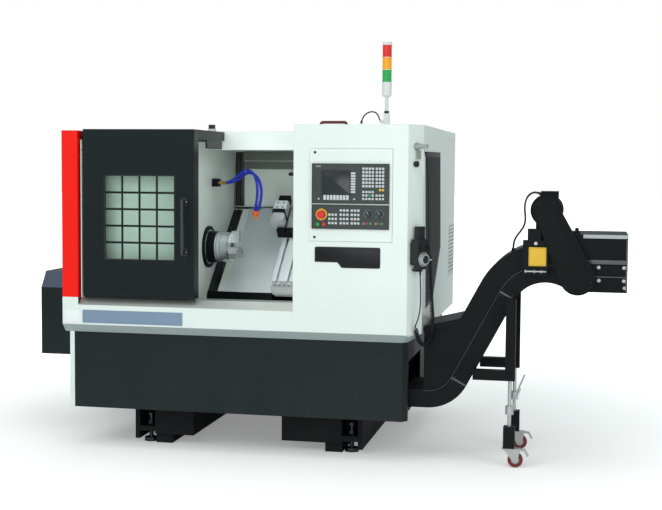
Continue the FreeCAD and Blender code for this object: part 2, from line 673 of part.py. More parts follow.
def chip_chute():
    t = SHEET
    run = side([(CHUTE_Y0, CHUTE_Z0), (CHUTE_Y1, CHUTE_Z1), (CHUTE_Y1 + t, CHUTE_Z1),
                (CHUTE_Y0 + t, CHUTE_Z0 - 2)], CHUTE_LEFT, CHUTE_RIGHT)
    apron = box(CHUTE_LEFT, CHUTE_RIGHT, CHUTE_Y0 - t, CHUTE_Y0 + t, BASE_TOP - 60, CHUTE_Z0)
    hook = box(CHUTE_LEFT, CHUTE_RIGHT, CHUTE_Y1, CHUTE_Y1 + 14, CHUTE_Z1 - t, CHUTE_Z1)
    shelf = box(CHUTE_LEFT, CHUTE_RIGHT, CHUTE_Y0 + t, BAY_BACK + 20, BASE_TOP, BASE_TOP + t)
    return fused([run, apron, hook, shelf])


def coolant_block():
    y, z = COOLANT_Y, COOLANT_Z
    block = box(WALL_X, WALL_X + 36, y - 12, y + 44, z - 22, z + 22)
    parts = [block]
    for dy in (0, 30):
        parts.append(fused([rod((WALL_X + 36, y + dy, z), (WALL_X + 66, y + dy, z), 7.5),
                            rod((WALL_X + 44, y + dy, z), (WALL_X + 56, y + dy, z), 10.5),
                            rod((WALL_X + 66, y + dy, z), (WALL_X + 80, y + dy, z), 9)]))
    return group(parts)


HOSE_FRONT = [(680, 681, 1379), (712, 682, 1388), (741, 684, 1410), (766, 686, 1438),
              (797, 689, 1452), (827, 693, 1439), (845, 697, 1409), (853, 700, 1371),
              (855, 702, 1328), (851, 702, 1284), (845, 700, 1244), (840, 698, 1214)]
HOSE_BACK = [(680, 711, 1379), (713, 713, 1385), (744, 716, 1401), (772, 719, 1425),
             (804, 722, 1437), (836, 725, 1424), (858, 727, 1394), (869, 728, 1355),
             (871, 727, 1313), (866, 724, 1272), (858, 720, 1238), (850, 716, 1214)]


def coolant_nozzle():
    """Shared end piece of the two hoses."""
    body = fused([Part.makeCone(13, 7, 34, V(840, 700, 1209), V(0.25, 0.05, -1)),
                  rod((840, 698, 1214), (841, 699, 1205), 13),
                  rod((850, 716, 1214), (847, 708, 1200), 11)])
    return body


# ---- spindle ------------------------------------------------------------------------------------
def along(x0, x1, r):
    """Round body on the spindle axis."""
    return rod((x0, SPINDLE_Y, SPINDLE_Z), (x1, SPINDLE_Y, SPINDLE_Z), r)


FLANGE_X = WALL_X + GAP
ADAPTER_X = FLANGE_X + FLANGE_T
CHUCK_X = ADAPTER_X + ADAPTER_T
CHUCK_FACE = CHUCK_X + CHUCK_T


def spindle():
    pulley_x = HEAD_LEFT - PULLEY_GAP - PULLEY_T
    body = fused([along(pulley_x - 10, FLANGE_X + 1, JOURNAL_R), along(FLANGE_X, ADAPTER_X, FLANGE_R),
                  along(ADAPTER_X, CHUCK_X, ADAPTER_R), along(pulley_x, pulley_x + PULLEY_T, PULLEY_R)])
    return body.cut(along(pulley_x - 20, CHUCK_X + 1, SPINDLE_BORE_R))


def turned(shape, k):
    """Copy turned to the place of jaw k."""
    copy = shape.copy()
    copy.rotate(V(CHUCK_X, SPINDLE_Y, SPINDLE_Z), V(1, 0, 0), 120 * k)
    return copy


def jaw_shape(extra):
    """Jaw pointing up from the axis; extra widens it for its slot."""
    base = box(CHUCK_FACE - JAW_DEPTH - extra, CHUCK_FACE + 1, SPINDLE_Y - JAW_BASE_W / 2 - extra,
               SPINDLE_Y + JAW_BASE_W / 2 + extra, SPINDLE_Z + JAW_R0 - 40 * (extra > 0),
               SPINDLE_Z + CHUCK_R - 6 + 20 * (extra > 0))
    top = box(CHUCK_FACE + GAP, CHUCK_FACE + JAW_OUT, SPINDLE_Y - JAW_W / 2, SPINDLE_Y + JAW_W / 2,
              SPINDLE_Z + JAW_R0, SPINDLE_Z + JAW_R1)
    return base if extra else fused([base, top])


def chuck_body():
    body = along(CHUCK_X, CHUCK_FACE, CHUCK_R).cut(along(CHUCK_X - 1, CHUCK_FACE + 1, SPINDLE_BORE_R))
    for k in range(3):
        body = body.cut(turned(jaw_shape(GAP), k))
    return body


def chuck_jaw(k):
    return turned(jaw_shape(0), k)


# ---- door ---------------------------------------------------------------------------------------
def door_panel():
    t = DOOR_SHEET
    y0, y1 = DOOR_Y, DOOR_Y + DOOR_DEPTH
    tray = box(DOOR_LEFT, DOOR_RIGHT, y0, y1, DOOR_LOW, DOOR_TOP)
    tray = tray.cut(box(DOOR_LEFT + t, DOOR_RIGHT - t, y0 + t, y1 + 1, DOOR_LOW + t, DOOR_TOP - t))
    ring_y = y0 + t + WINDOW_RING
    ring = box(WINDOW_LEFT - t, WINDOW_RIGHT + t, y0, ring_y, WINDOW_LOW - t, WINDOW_TOP + t)
    hole = box(WINDOW_LEFT, WINDOW_RIGHT, y0 - 1, ring_y + 1, WINDOW_LOW, WINDOW_TOP)
    plate = box(DOOR_LEFT, DOOR_RIGHT, y0, HEAD_PLATE_BACK, DOOR_TOP - t, DOOR_TOP)
    flanges = [box(x, x + t, y0 + 1, HEAD_PLATE_BACK, DOOR_TOP - HEAD_FLANGE, DOOR_TOP)
               for x in (DOOR_LEFT, DOOR_RIGHT - t)]
    tray = fused([tray, ring, plate] + flanges).cut(hole)
    bars = grille_bars(y0 + t + 1)
    return group([tray, bars])


def grille_bars(y):
    """Welded grid of flat bars in the window."""
    bars = []
    half = GRILLE_BAR / 2
    for k in range(1, GRILLE_COLUMNS):
        x = WINDOW_LEFT + (WINDOW_RIGHT - WINDOW_LEFT) * k / GRILLE_COLUMNS
        bars.append(box(x - half, x + half, y, y + 5, WINDOW_LOW, WINDOW_TOP))
    for k in range(1, GRILLE_ROWS):
        z = WINDOW_LOW + (WINDOW_TOP - WINDOW_LOW) * k / GRILLE_ROWS
        bars.append(box(WINDOW_LEFT, WINDOW_RIGHT, y, y + 5, z - half, z + half))
    return fused(bars)


def door_glass():
    y = DOOR_Y + DOOR_SHEET + WINDOW_RING
    return box(WINDOW_LEFT - DOOR_SHEET, WINDOW_RIGHT + DOOR_SHEET, y, y + GLASS_T,
               WINDOW_LOW - DOOR_SHEET, WINDOW_TOP + DOOR_SHEET)


def door_fittings():
    """Pull handle, hanger under the head plate and the switch cam on top of it."""
    r = HANDLE_R
    grip = rod((HANDLE_X, DOOR_Y - HANDLE_OUT, HANDLE_LOW), (HANDLE_X, DOOR_Y - HANDLE_OUT, HANDLE_TOP), r)
    stems = [rod((HANDLE_X, DOOR_Y - HANDLE_OUT, z), (HANDLE_X, DOOR_Y, z), r - 1.5)
             for z in (HANDLE_LOW + 12, HANDLE_TOP - 12)]
    feet = [box(HANDLE_X - 16, HANDLE_X + 16, DOOR_Y - 10, DOOR_Y, z - 22, z + 22)
            for z in (HANDLE_LOW + 12, HANDLE_TOP - 12)]
    x = DOOR_RIGHT - DOOR_SHEET
    low = DOOR_TOP - 93
    hanger = fused([box(x - 8, x, HANGER_FRONT, HANGER_BACK, low, low + 50),
                    box(x - 60, x - 8, HANGER_BACK - 70, HANGER_BACK, low, low + 34)])
    cam = fused([box(x - 42, x - 6, 380, 420, DOOR_TOP, DOOR_TOP + 14),
                 box(x - 40, x - 8, 390, 410, DOOR_TOP + 14, DOOR_TOP + 36)])
    shoes = [box(x0, x0 + 40, DOOR_Y + 40, DOOR_Y + 60, SILL_TOP + GAP, DOOR_LOW)
             for x0 in (DOOR_LEFT + 50, DOOR_RIGHT - 90)]
    return group([fused([grip] + stems + feet), hanger, cam] + shoes)


# ---- operator panel -----------------------------------------------------------------------------
def panel_frame():
    y0, y1 = -PANEL_PROUD, PANEL_T - PANEL_PROUD
    door = box(PANEL_LEFT, PANEL_RIGHT, y0, y1, PANEL_LOW, PANEL_TOP)
    door = door.cut(box(PANEL_LEFT + SHEET, PANEL_RIGHT - SHEET, y0 + SHEET, y1 + 1,
                        PANEL_LOW + SHEET, PANEL_TOP - SHEET))
    lap = 10
    return door.cut(box(UNIT_LEFT + lap, UNIT_RIGHT - lap, y0 - 1, y0 + SHEET + 1,
                        UNIT_LOW + lap, UNIT_TOP - lap))


def face_unit(z0, z1, y_front, y_back, holes):
    """Front plate with a shallow housing behind it."""
    lap = 11
    face = -PANEL_PROUD
    plate = box(UNIT_LEFT, UNIT_RIGHT, y_front, face, z0, z1)
    low = z0 + (lap if z0 == UNIT_LOW else 0)
    top = z1 - (lap if z1 == UNIT_TOP else 0)
    back = box(UNIT_LEFT + lap, UNIT_RIGHT - lap, face, y_back, low, top)
    unit = fused([plate, back])
    for x, z, r in holes:
        unit = unit.cut(rod((x, y_front - 1, z), (x, y_back + 1, z), r + RUNNING))
    return unit


def display_unit():
    return face_unit(UNIT_SPLIT, UNIT_TOP, -PANEL_PROUD - UNIT_T, UNIT_BACK + 20, [])


def key_panel():
    holes = [(ESTOP_X, ESTOP_Z, 8), (START_X, PUSH_Z, 6), (STOP_X, PUSH_Z, 6),
             (FEED_X, KNOB_Z, 4), (SPEED_X, KNOB_Z, 4)]
    return face_unit(UNIT_LOW, UNIT_SPLIT, -PANEL_PROUD - UNIT_T, UNIT_BACK, holes)


def push_button(x, z, r, stem, out, back):
    """Round head on a stem that runs through the key panel."""
    y = -PANEL_PROUD - UNIT_T
    head = rod((x, y - out, z), (x, y - BUTTON_TRAVEL - 1, z), r)
    return fused([head, rod((x, y - BUTTON_TRAVEL - 1, z), (x, back, z), stem)])


def estop_button():
    y = -PANEL_PROUD - UNIT_T
    cap = Part.makeCone(13, ESTOP_R, 10, V(ESTOP_X, y - BUTTON_TRAVEL - 1, ESTOP_Z), V(0, -1, 0))
    dome = rod((ESTOP_X, y - BUTTON_TRAVEL - 11, ESTOP_Z), (ESTOP_X, y - BUTTON_TRAVEL - 18, ESTOP_Z), ESTOP_R)
    return fused([cap, dome, rod((ESTOP_X, y - BUTTON_TRAVEL - 1, ESTOP_Z), (ESTOP_X, UNIT_BACK, ESTOP_Z), 8)])


def knob(x, z):
    """Rotary selector with a pointer ridge."""
    y = -PANEL_PROUD - UNIT_T - 1
    return fused([rod((x, y, z), (x, y - 8, z), KNOB_R),
                  box(x - 4, x + 4, y - 19, y - 7, z - KNOB_R + 1, z + KNOB_R - 1),
                  rod((x, y, z), (x, UNIT_BACK, z), 4)])


# ---- tower light --------------------------------------------------------------------------------
def tower_mast():
    x, y = TOWER_X, TOWER_Y
    base = fused([box(x - 34, x + 26, y - 26, y + 26, BODY_TOP, BODY_TOP + 6),
                  box(x - 14, x + 14, y - 14, y + 14, BODY_TOP + 6, BODY_TOP + 60),
                  rod((x, y, BODY_TOP + 60), (x, y, POLE_TOP), POLE_R),
                  rod((x, y, POLE_TOP - 8), (x, y, POLE_TOP), POLE_R + 8),
                  rod((x, y, POLE_TOP), (x, y, TOWER_BODY_TOP), TOWER_R),
                  rod((x - 14, y, BODY_TOP + 22), (x - 30, y, BODY_TOP + 22), 8)])
    z = TOWER_BODY_TOP + 3 * LENS_H
    cap = rod((x, y, z), (x, y, z + CAP_H), TOWER_R)
    gland = rod((CABLE_X, y, BODY_TOP), (CABLE_X, y, BODY_TOP + 12), 9)
    return group([base, cap, gland])


CABLE_X = BODY_WIDTH - 334.0
WIDER = BODY_WIDTH - 1864.0
HIGHER = BODY_TOP - 1680.0
TOWER_CABLE = [(1530, 200, 1692), (1534, 200, 1716), (1550, 200, 1738), (1575, 200, 1751),
               (1602, 200, 1748), (1618, 200, 1728), (1622, 200, 1711), (1628, 200, 1702)]
TOWER_CABLE = [(x + WIDER, y, z + HIGHER) for x, y, z in TOWER_CABLE]


def tower_lens(k):
    """Lens k, counted from the bottom."""
    z = TOWER_BODY_TOP + k * LENS_H
    x, y = TOWER_X, TOWER_Y
    lens = fused([rod((x, y, z), (x, y, z + LENS_H), TOWER_R - 1),
                  rod((x, y, z), (x, y, z + 5), TOWER_R),
                  rod((x, y, z + LENS_H - 5), (x, y, z + LENS_H), TOWER_R)])
    return lens


# ---- pendant ------------------------------------------------------------------------------------
CORNER_LEN = math.hypot(CORNER_RUN_X, CORNER_RUN_Y)
PENDANT_T0 = CORNER_LEN / 2 - PENDANT_W / 2
PENDANT_MID = CORNER_LEN / 2


def pendant_holder():
    """Wall bracket with side cheeks, the cable socket above and a blind cap."""
    t0, t1 = PENDANT_T0, PENDANT_T0 + PENDANT_W
    back = corner_block(t0 + 6, t1 - 6, 0, HOLDER_T - GAP, PENDANT_LOW + 20, PENDANT_TOP - 20)
    ledge = corner_block(t0 + 20, t1 - 20, 0, HOLDER_T + 20, PENDANT_LOW - 12, PENDANT_LOW - 0.2)
    elbow = corner_point(PENDANT_MID, PLUG_OUT, SOCKET_Z)
    socket = fused([corner_rod(PENDANT_MID, SOCKET_Z, 0, 14, 16), corner_rod(PENDANT_MID, SOCKET_Z, 14, 30, 13),
                    corner_rod(PENDANT_MID, SOCKET_Z, 30, PLUG_OUT + 10, 11),
                    rod(elbow, (elbow[0], elbow[1], LEAD_UP[-1][2]), 9)])
    ramp = corner_block(PENDANT_MID - 4, PENDANT_MID + 24, 0, 10, SOCKET_Z - 62, SOCKET_Z - 18)
    cap = corner_rod(PENDANT_MID - 4, SOCKET_Z - 86, 0, 12, 15)
    return group([fused([back, ledge]), socket, ramp, cap])


def pendant_body():
    t0, t1 = PENDANT_T0, PENDANT_T0 + PENDANT_W
    o0, o1 = HOLDER_T, HOLDER_T + PENDANT_T
    body = corner_block(t0, t1, o0, o1, PENDANT_LOW + 28, PENDANT_TOP)
    chin = corner_block(t0 + 18, t1 - 18, o0 + 4, o1 - 4, PENDANT_LOW, PENDANT_LOW + 29)
    hook = corner_block(t0 + 22, t0 + 64, o0, o0 + 30, PENDANT_TOP, PENDANT_TOP + 62)
    body = fused([body, chin, hook])
    for t, z in selector_places():
        body = body.cut(corner_rod(t, z, o1 - 12, o1 + 1, 3 + RUNNING))
    return body.cut(corner_rod(PENDANT_MID, WHEEL_Z, o1 - 14, o1 + 1, 6 + RUNNING))


def selector_places():
    """Places of the two selector knobs on the pendant."""
    return ((PENDANT_MID - 20, SELECTOR_Z), (PENDANT_MID + 20, SELECTOR_Z))


def pendant_wheel():
    o1 = HOLDER_T + PENDANT_T
    return fused([corner_rod(PENDANT_MID, WHEEL_Z, o1 - 12, o1 + GAP, 6),
                  corner_rod(PENDANT_MID, WHEEL_Z, o1 + GAP, o1 + GAP + WHEEL_T, WHEEL_R),
                  corner_rod(PENDANT_MID + 17, WHEEL_Z, o1 + WHEEL_T, o1 + WHEEL_T + 22, 4.5)])


def pendant_knob(t, z):
    o1 = HOLDER_T + PENDANT_T
    return fused([corner_rod(t, z, o1 - 10, o1 + GAP, 3), corner_rod(t, z, o1 + GAP, o1 + 9, SELECTOR_R),
                  corner_block(t - 2, t + 2, o1 + 8, o1 + 15, z - SELECTOR_R + 1, z + SELECTOR_R - 1)])


LEAD_DOWN = [(1861.7, 20.9, 975), (1863, 20, 925), (1866, 18, 875), (1867, 15, 825), (1865, 13, 777),
             (1857, 15, 733), (1841, 22, 694)]
LEAD_DOWN = [(x + WIDER, y, z) for x, y, z in LEAD_DOWN]
COIL = [(1841, 22, 694), (1846, 32, 655), (1856, 50, 616), (1877, 72, 593), (1898, 90, 603),
        (1911, 100, 640), (1916, 105, 700), (1913, 106, 760), (1908, 103, 820), (1906, 99, 880),
        (1902, 97, 940), (1900, 93, 1000), (1897, 92, 1058)]
COIL = [(x + WIDER, y, z) for x, y, z in COIL]
LEAD_UP = [(1897, 92, 1058), (1895, 88, 1112), (1893, 84, 1168), (1892, 78, 1226), (1892, 71, 1284),
           (1892, 62, 1342), (1891, 51, 1398), (1889, 36, 1452), (1886, 18, 1502), (1883, 5, 1548)]
LEAD_UP = [(x + WIDER, y, z + HIGHER * (z - 1058) / 490) for x, y, z in LEAD_UP]


# ---- conveyor -----------------------------------------------------------------------------------
MOTOR_CABLE = [(2431, 250, 1344), (2408, 249, 1355), (2382, 246, 1350), (2362, 242, 1329),
               (2352, 238, 1298), (2352, 234, 1262), (2357, 230, 1226), (2353, 226, 1190),
               (2334, 222, 1160), (2312, 219, 1132), (2301, 217, 1102), (2300, 216, 1076)]
MOTOR_CABLE = [(x + HEAD_X - 2465.4, y, z) for x, y, z in MOTOR_CABLE]
SIN_R, COS_R = math.sin(RISE), math.cos(RISE)
LOWER_C = (LOWER_BEND_X, CONVEYOR_LOW + LOWER_BEND_R)
RISE_0 = (LOWER_C[0] + LOWER_BEND_R * SIN_R, LOWER_C[1] - LOWER_BEND_R * COS_R)
RISE_1 = (RISE_0[0] + RISE_LEN * COS_R, RISE_0[1] + RISE_LEN * SIN_R)
UPPER_C = (RISE_1[0] + UPPER_BEND_R * SIN_R, RISE_1[1] - UPPER_BEND_R * COS_R)


def off(point, distance):
    """Point moved square to the rise, up and to the left."""
    return (point[0] - distance * SIN_R, point[1] + distance * COS_R)


def lower_arc(r):
    """Start, middle and end of the lower bend at radius r."""
    half = RISE / 2
    return [(LOWER_C[0], LOWER_C[1] - r),
            (LOWER_C[0] + r * math.sin(half), LOWER_C[1] - r * math.cos(half)),
            (LOWER_C[0] + r * SIN_R, LOWER_C[1] - r * COS_R)]


def upper_arc(r, end):
    """Points of the upper bend at radius r, from the rise to the angle end past the top."""
    middle = (end - RISE) / 2
    return [(UPPER_C[0] + r * math.sin(a), UPPER_C[1] + r * math.cos(a)) for a in (-RISE, middle, end)]


def duct(pieces, y0, y1):
    """Prism in Y over an outline of points and three-point arcs in X and Z."""
    edges = []
    last = None
    first = None
    for piece in pieces:
        points = [V(x, y0, z) for x, z in piece]
        if last is not None and last.distanceToPoint(points[0]) > 1e-6:
            edges.append(Part.LineSegment(last, points[0]).toShape())
        if len(points) == 3:
            edges.append(Part.Arc(*points).toShape())
        elif len(points) == 2:
            edges.append(Part.LineSegment(*points).toShape())
        first = first or points[0]
        last = points[-1]
    if last.distanceToPoint(first) > 1e-6:
        edges.append(Part.LineSegment(last, first).toShape())
    return Part.Face(Part.Wire(edges)).extrude(V(0, y1 - y0, 0))


def trough_section():
    t = CONVEYOR_SHEET
    top = CONVEYOR_LOW + TRACK
    r = LOWER_BEND_R

    def shape(e, y0, y1, left):
        outer, inner = lower_arc(r - e), lower_arc(r - TRACK + e)
        return duct([[(left, CONVEYOR_LOW + e)], outer, inner[::-1], [(left, top - e)]], y0, y1)

    solid = shape(0, CONVEYOR_FRONT, CONVEYOR_BACK, CONVEYOR_LEFT)
    solid = solid.cut(shape(t, CONVEYOR_FRONT + t, CONVEYOR_BACK - t, CONVEYOR_LEFT + t))
    return solid.cut(box(CONVEYOR_LEFT + t, SKIRT_RIGHT, CONVEYOR_FRONT + t, CONVEYOR_BACK - t,
                         top - 2 * t, top + 1))


def rise_section():
    t = CONVEYOR_SHEET

    def shape(e, y0, y1):
        return duct([[off(RISE_0, e), off(RISE_1, e)], [off(RISE_1, TRACK - e), off(RISE_0, TRACK - e)]],
                    y0, y1)

    return shape(0, CONVEYOR_FRONT, CONVEYOR_BACK).cut(shape(t, CONVEYOR_FRONT + t, CONVEYOR_BACK - t))


def head_outline(e):
    """Outline of the discharge head; e insets it."""
    under = math.acos((HEAD_LOW - UPPER_C[1]) / (UPPER_BEND_R + e))
    over = math.radians(8)
    return [upper_arc(UPPER_BEND_R + e, under), [(HEAD_X1 - e, HEAD_LOW + e * 0)],
            [(HEAD_X1 - e, HEAD_TOP - e)], [(HEAD_X0 + e, HEAD_TOP - e)],
            [(HEAD_X0 + e, UPPER_C[1] + (UPPER_BEND_R + DUCT - e) * math.cos(over))],
            upper_arc(UPPER_BEND_R + DUCT - e, over)[::-1]]


def head_section():
    t = CONVEYOR_SHEET
    solid = duct(head_outline(0), CONVEYOR_FRONT, CONVEYOR_BACK)
    inner = duct(head_outline(t), CONVEYOR_FRONT + t, CONVEYOR_BACK - t)
    x, y, z = MOTOR_CABLE[-1]
    solid = solid.cut(inner).fuse(rod((x, y, z - 18), (x, y, z), 9)).removeSplitter()
    return solid.cut(box(CHUTE_OPEN_LEFT, HEAD_X1 - t, CONVEYOR_FRONT + t, CONVEYOR_BACK - t,
                         HEAD_LOW - 5, HEAD_LOW + 8))


def conveyor_body():
    t = CONVEYOR_SHEET
    lid = box(HEAD_X0, HEAD_X1, CONVEYOR_FRONT, CONVEYOR_BACK, HEAD_TOP, HEAD_TOP + HEAD_LID)
    lid = lid.cut(box(HEAD_X0 + t, HEAD_X1 - t, CONVEYOR_FRONT + t, CONVEYOR_BACK - t, HEAD_TOP - 1,
                      HEAD_TOP + HEAD_LID - t))
    return group([trough_section(), rise_section(), head_section(), lid])


def conveyor_cover():
    t = CONVEYOR_SHEET
    seat = CONVEYOR_LOW + TRACK
    inner = lower_arc(LOWER_BEND_R - TRACK)
    slope = (RISE_0[0] - DUCT * SIN_R, RISE_0[1] + DUCT * COS_R)
    reach = (HOPPER_TOP + 44 - slope[1]) / SIN_R
    peak = (slope[0] + reach * COS_R, HOPPER_TOP + 44)

    def shape(e, y0, y1):
        return duct([[(HOPPER_LEFT + e, seat + e)], [(inner[0][0], seat + e)],
                     [(inner[1][0] - e * 0.5, inner[1][1] + e * 0.9)], [off(RISE_0, TRACK + e)],
                     [off(RISE_1, TRACK + e)], [off(RISE_1, DUCT - e)],
                     [(peak[0], peak[1] - 2 * e)], [(HOPPER_LEFT + e, HOPPER_TOP - e)]], y0, y1)

    solid = shape(0, CONVEYOR_FRONT, CONVEYOR_BACK)
    hollow = shape(t, CONVEYOR_FRONT + t, CONVEYOR_BACK - t)
    mouth = box(HOPPER_LEFT - 1, HOPPER_LEFT + t + 1, CONVEYOR_FRONT + t, CONVEYOR_BACK - t, seat + t, 640)
    return solid.cut(hollow).cut(mouth)


def drive_guard():
    """Flat cover over the chain, round at both ends."""
    y0, y1 = CONVEYOR_FRONT - GUARD_T, CONVEYOR_FRONT
    dx, dz = GUARD_X1 - GUARD_X0, GUARD_Z1 - GUARD_Z0
    span = math.hypot(dx, dz)
    heading = math.atan2(dz, dx)
    lean = math.acos((GUARD_R0 - GUARD_R1) / span)

    def at(cx, cz, r, a):
        return (cx + r * math.cos(a), cz + r * math.sin(a))

    up, down = heading + lean, heading - lean
    far = at(GUARD_X1, GUARD_Z1, GUARD_R1, heading)
    near = at(GUARD_X0, GUARD_Z0, GUARD_R0, heading + math.pi)
    return duct([[at(GUARD_X0, GUARD_Z0, GUARD_R0, down), near, at(GUARD_X0, GUARD_Z0, GUARD_R0, up)],
                 [at(GUARD_X1, GUARD_Z1, GUARD_R1, up), far, at(GUARD_X1, GUARD_Z1, GUARD_R1, down)]],
                y0, y1)


def gear_motor():
    y = CONVEYOR_FRONT
    motor = fused([rod((GUARD_X0, y, GUARD_Z0 - 8), (GUARD_X0, y + MOTOR_LEN, GUARD_Z0 - 8), MOTOR_R),
                   rod((GUARD_X0, y + MOTOR_LEN, GUARD_Z0 - 8), (GUARD_X0, y + MOTOR_LEN + 50, GUARD_Z0 - 8),
                       MOTOR_R - 8),
                   box(GUARD_X0 - 30, GUARD_X0 + 55, y + 70, y + 170, GUARD_Z0 + 50, GUARD_Z0 + 86),
                   box(GUARD_X0 - 50, GUARD_X0 + 50, y + 20, y + 200, HEAD_TOP - 20, GUARD_Z0 - 60)])
    top = UPPER_C[1] + UPPER_BEND_R + DUCT
    saddle_plate = box(GUARD_X0 - 80, GUARD_X0 + 80, y + 10, y + 210, top, HEAD_TOP - 20)
    bracket = fused([box(BRACKET_LEFT, BRACKET_RIGHT, y - BRACKET_T, y, BRACKET_LOW, BRACKET_TOP),
                     box(BRACKET_LEFT + 22, BRACKET_RIGHT - 37, y - BRACKET_T, y, BRACKET_TOP,
                         BRACKET_TOP + 56)])
    guard = drive_guard()
    return group([fused([motor, saddle_plate]).cut(guard), bracket.cut(guard)])


def leg(y0, y1, rod_y):
    """Outrigger leg: post, strut to the rise, threaded rod with nut, lever and caster sleeve."""
    half = LEG_SIDE / 2
    post = box(LEG_X - half, LEG_X + half, y0, y1, LEG_LOW, LEG_TOP)
    strut_left = RISE_0[0] + (STRUT_Z - RISE_0[1]) / math.tan(RISE)
    strut = box(strut_left, LEG_X - half, y0, y1, STRUT_Z - 25, STRUT_Z + 25)
    screw = rod((LEG_X, rod_y, SLEEVE_TOP - 10), (LEG_X, rod_y, LEG_LOW + 20), ROD_R)
    nut = rod((LEG_X, rod_y, 262), (LEG_X, rod_y, 304), NUT_R)
    lever = rod((LEG_X + 12, rod_y, 296), (LEG_X + 52, rod_y, 392), 4)
    w = SLEEVE_W / 2
    sleeve = box(LEG_X - w, LEG_X + w, rod_y - w, rod_y + w, SLEEVE_LOW, SLEEVE_TOP)
    return fused([post, strut, screw, nut, lever, sleeve])


LEG_FRONT_Y = CONVEYOR_FRONT - LEG_SIDE / 2
LEG_BACK_Y = CONVEYOR_BACK + LEG_SIDE / 2


def conveyor_legs():
    front_leg = leg(CONVEYOR_FRONT - LEG_SIDE, CONVEYOR_FRONT, LEG_FRONT_Y)
    back_leg = leg(CONVEYOR_BACK, CONVEYOR_BACK + LEG_SIDE, LEG_BACK_Y)
    pivots = [rod((LEG_X, y, SLEEVE_LOW - CASTER_PLATE_T - 8), (LEG_X, y, SLEEVE_LOW + 1), 6)
              for y in (LEG_FRONT_Y, LEG_BACK_Y)]
    return group([fused([front_leg, pivots[0]]), fused([back_leg, pivots[1]])])


def caster_fork(y):
    """Swivel plate with two cheeks, the axle and the brake pedal."""
    top = SLEEVE_LOW - GAP
    x = LEG_X + CASTER_TRAIL
    low = top - CASTER_PLATE_T
    plate = rod((LEG_X, y, low), (LEG_X, y, top), 34)
    deck = box(LEG_X - 10, x + 26, y - 20, y + 20, low, low + 4)
    cheeks = []
    for y0 in (y - WHEEL_WIDTH / 2 - 5, y + WHEEL_WIDTH / 2 + 2):
        cheeks.append(prism([(LEG_X - 24, y0, low + 1), (x + 24, y0, low + 1), (x + 12, y0, WHEEL_RADIUS - 8),
                             (x - 12, y0, WHEEL_RADIUS - 8)], (0, 3, 0)))
    axle = rod((x, y - WHEEL_WIDTH / 2 - 7, WHEEL_RADIUS), (x, y + WHEEL_WIDTH / 2 + 7, WHEEL_RADIUS), 4)
    pedal = fused([box(x + 20, x + 46, y - 14, y + 14, low - 6, low + 1),
                   prism([(x + 40, y - 14, low - 2), (x + 46, y - 14, low + 1), (x + 66, y - 14, low - 30),
                          (x + 58, y - 14, low - 34)], (0, 28, 0))])
    fork = fused([plate, deck, pedal, axle] + cheeks)
    return fork.cut(rod((LEG_X, y, low - 20), (LEG_X, y, top + 1), 6 + RUNNING))


def caster_wheel(y):
    x = LEG_X + CASTER_TRAIL
    half = WHEEL_WIDTH / 2
    wheel = rod((x, y - half, WHEEL_RADIUS), (x, y + half, WHEEL_RADIUS), WHEEL_RADIUS)
    edges = [e for e in wheel.Edges if len(e.Vertexes) == 1]
    wheel = wheel.makeFillet(5, edges)
    return wheel.cut(rod((x, y - half - 1, WHEEL_RADIUS), (x, y + half + 1, WHEEL_RADIUS), 4 + RUNNING))


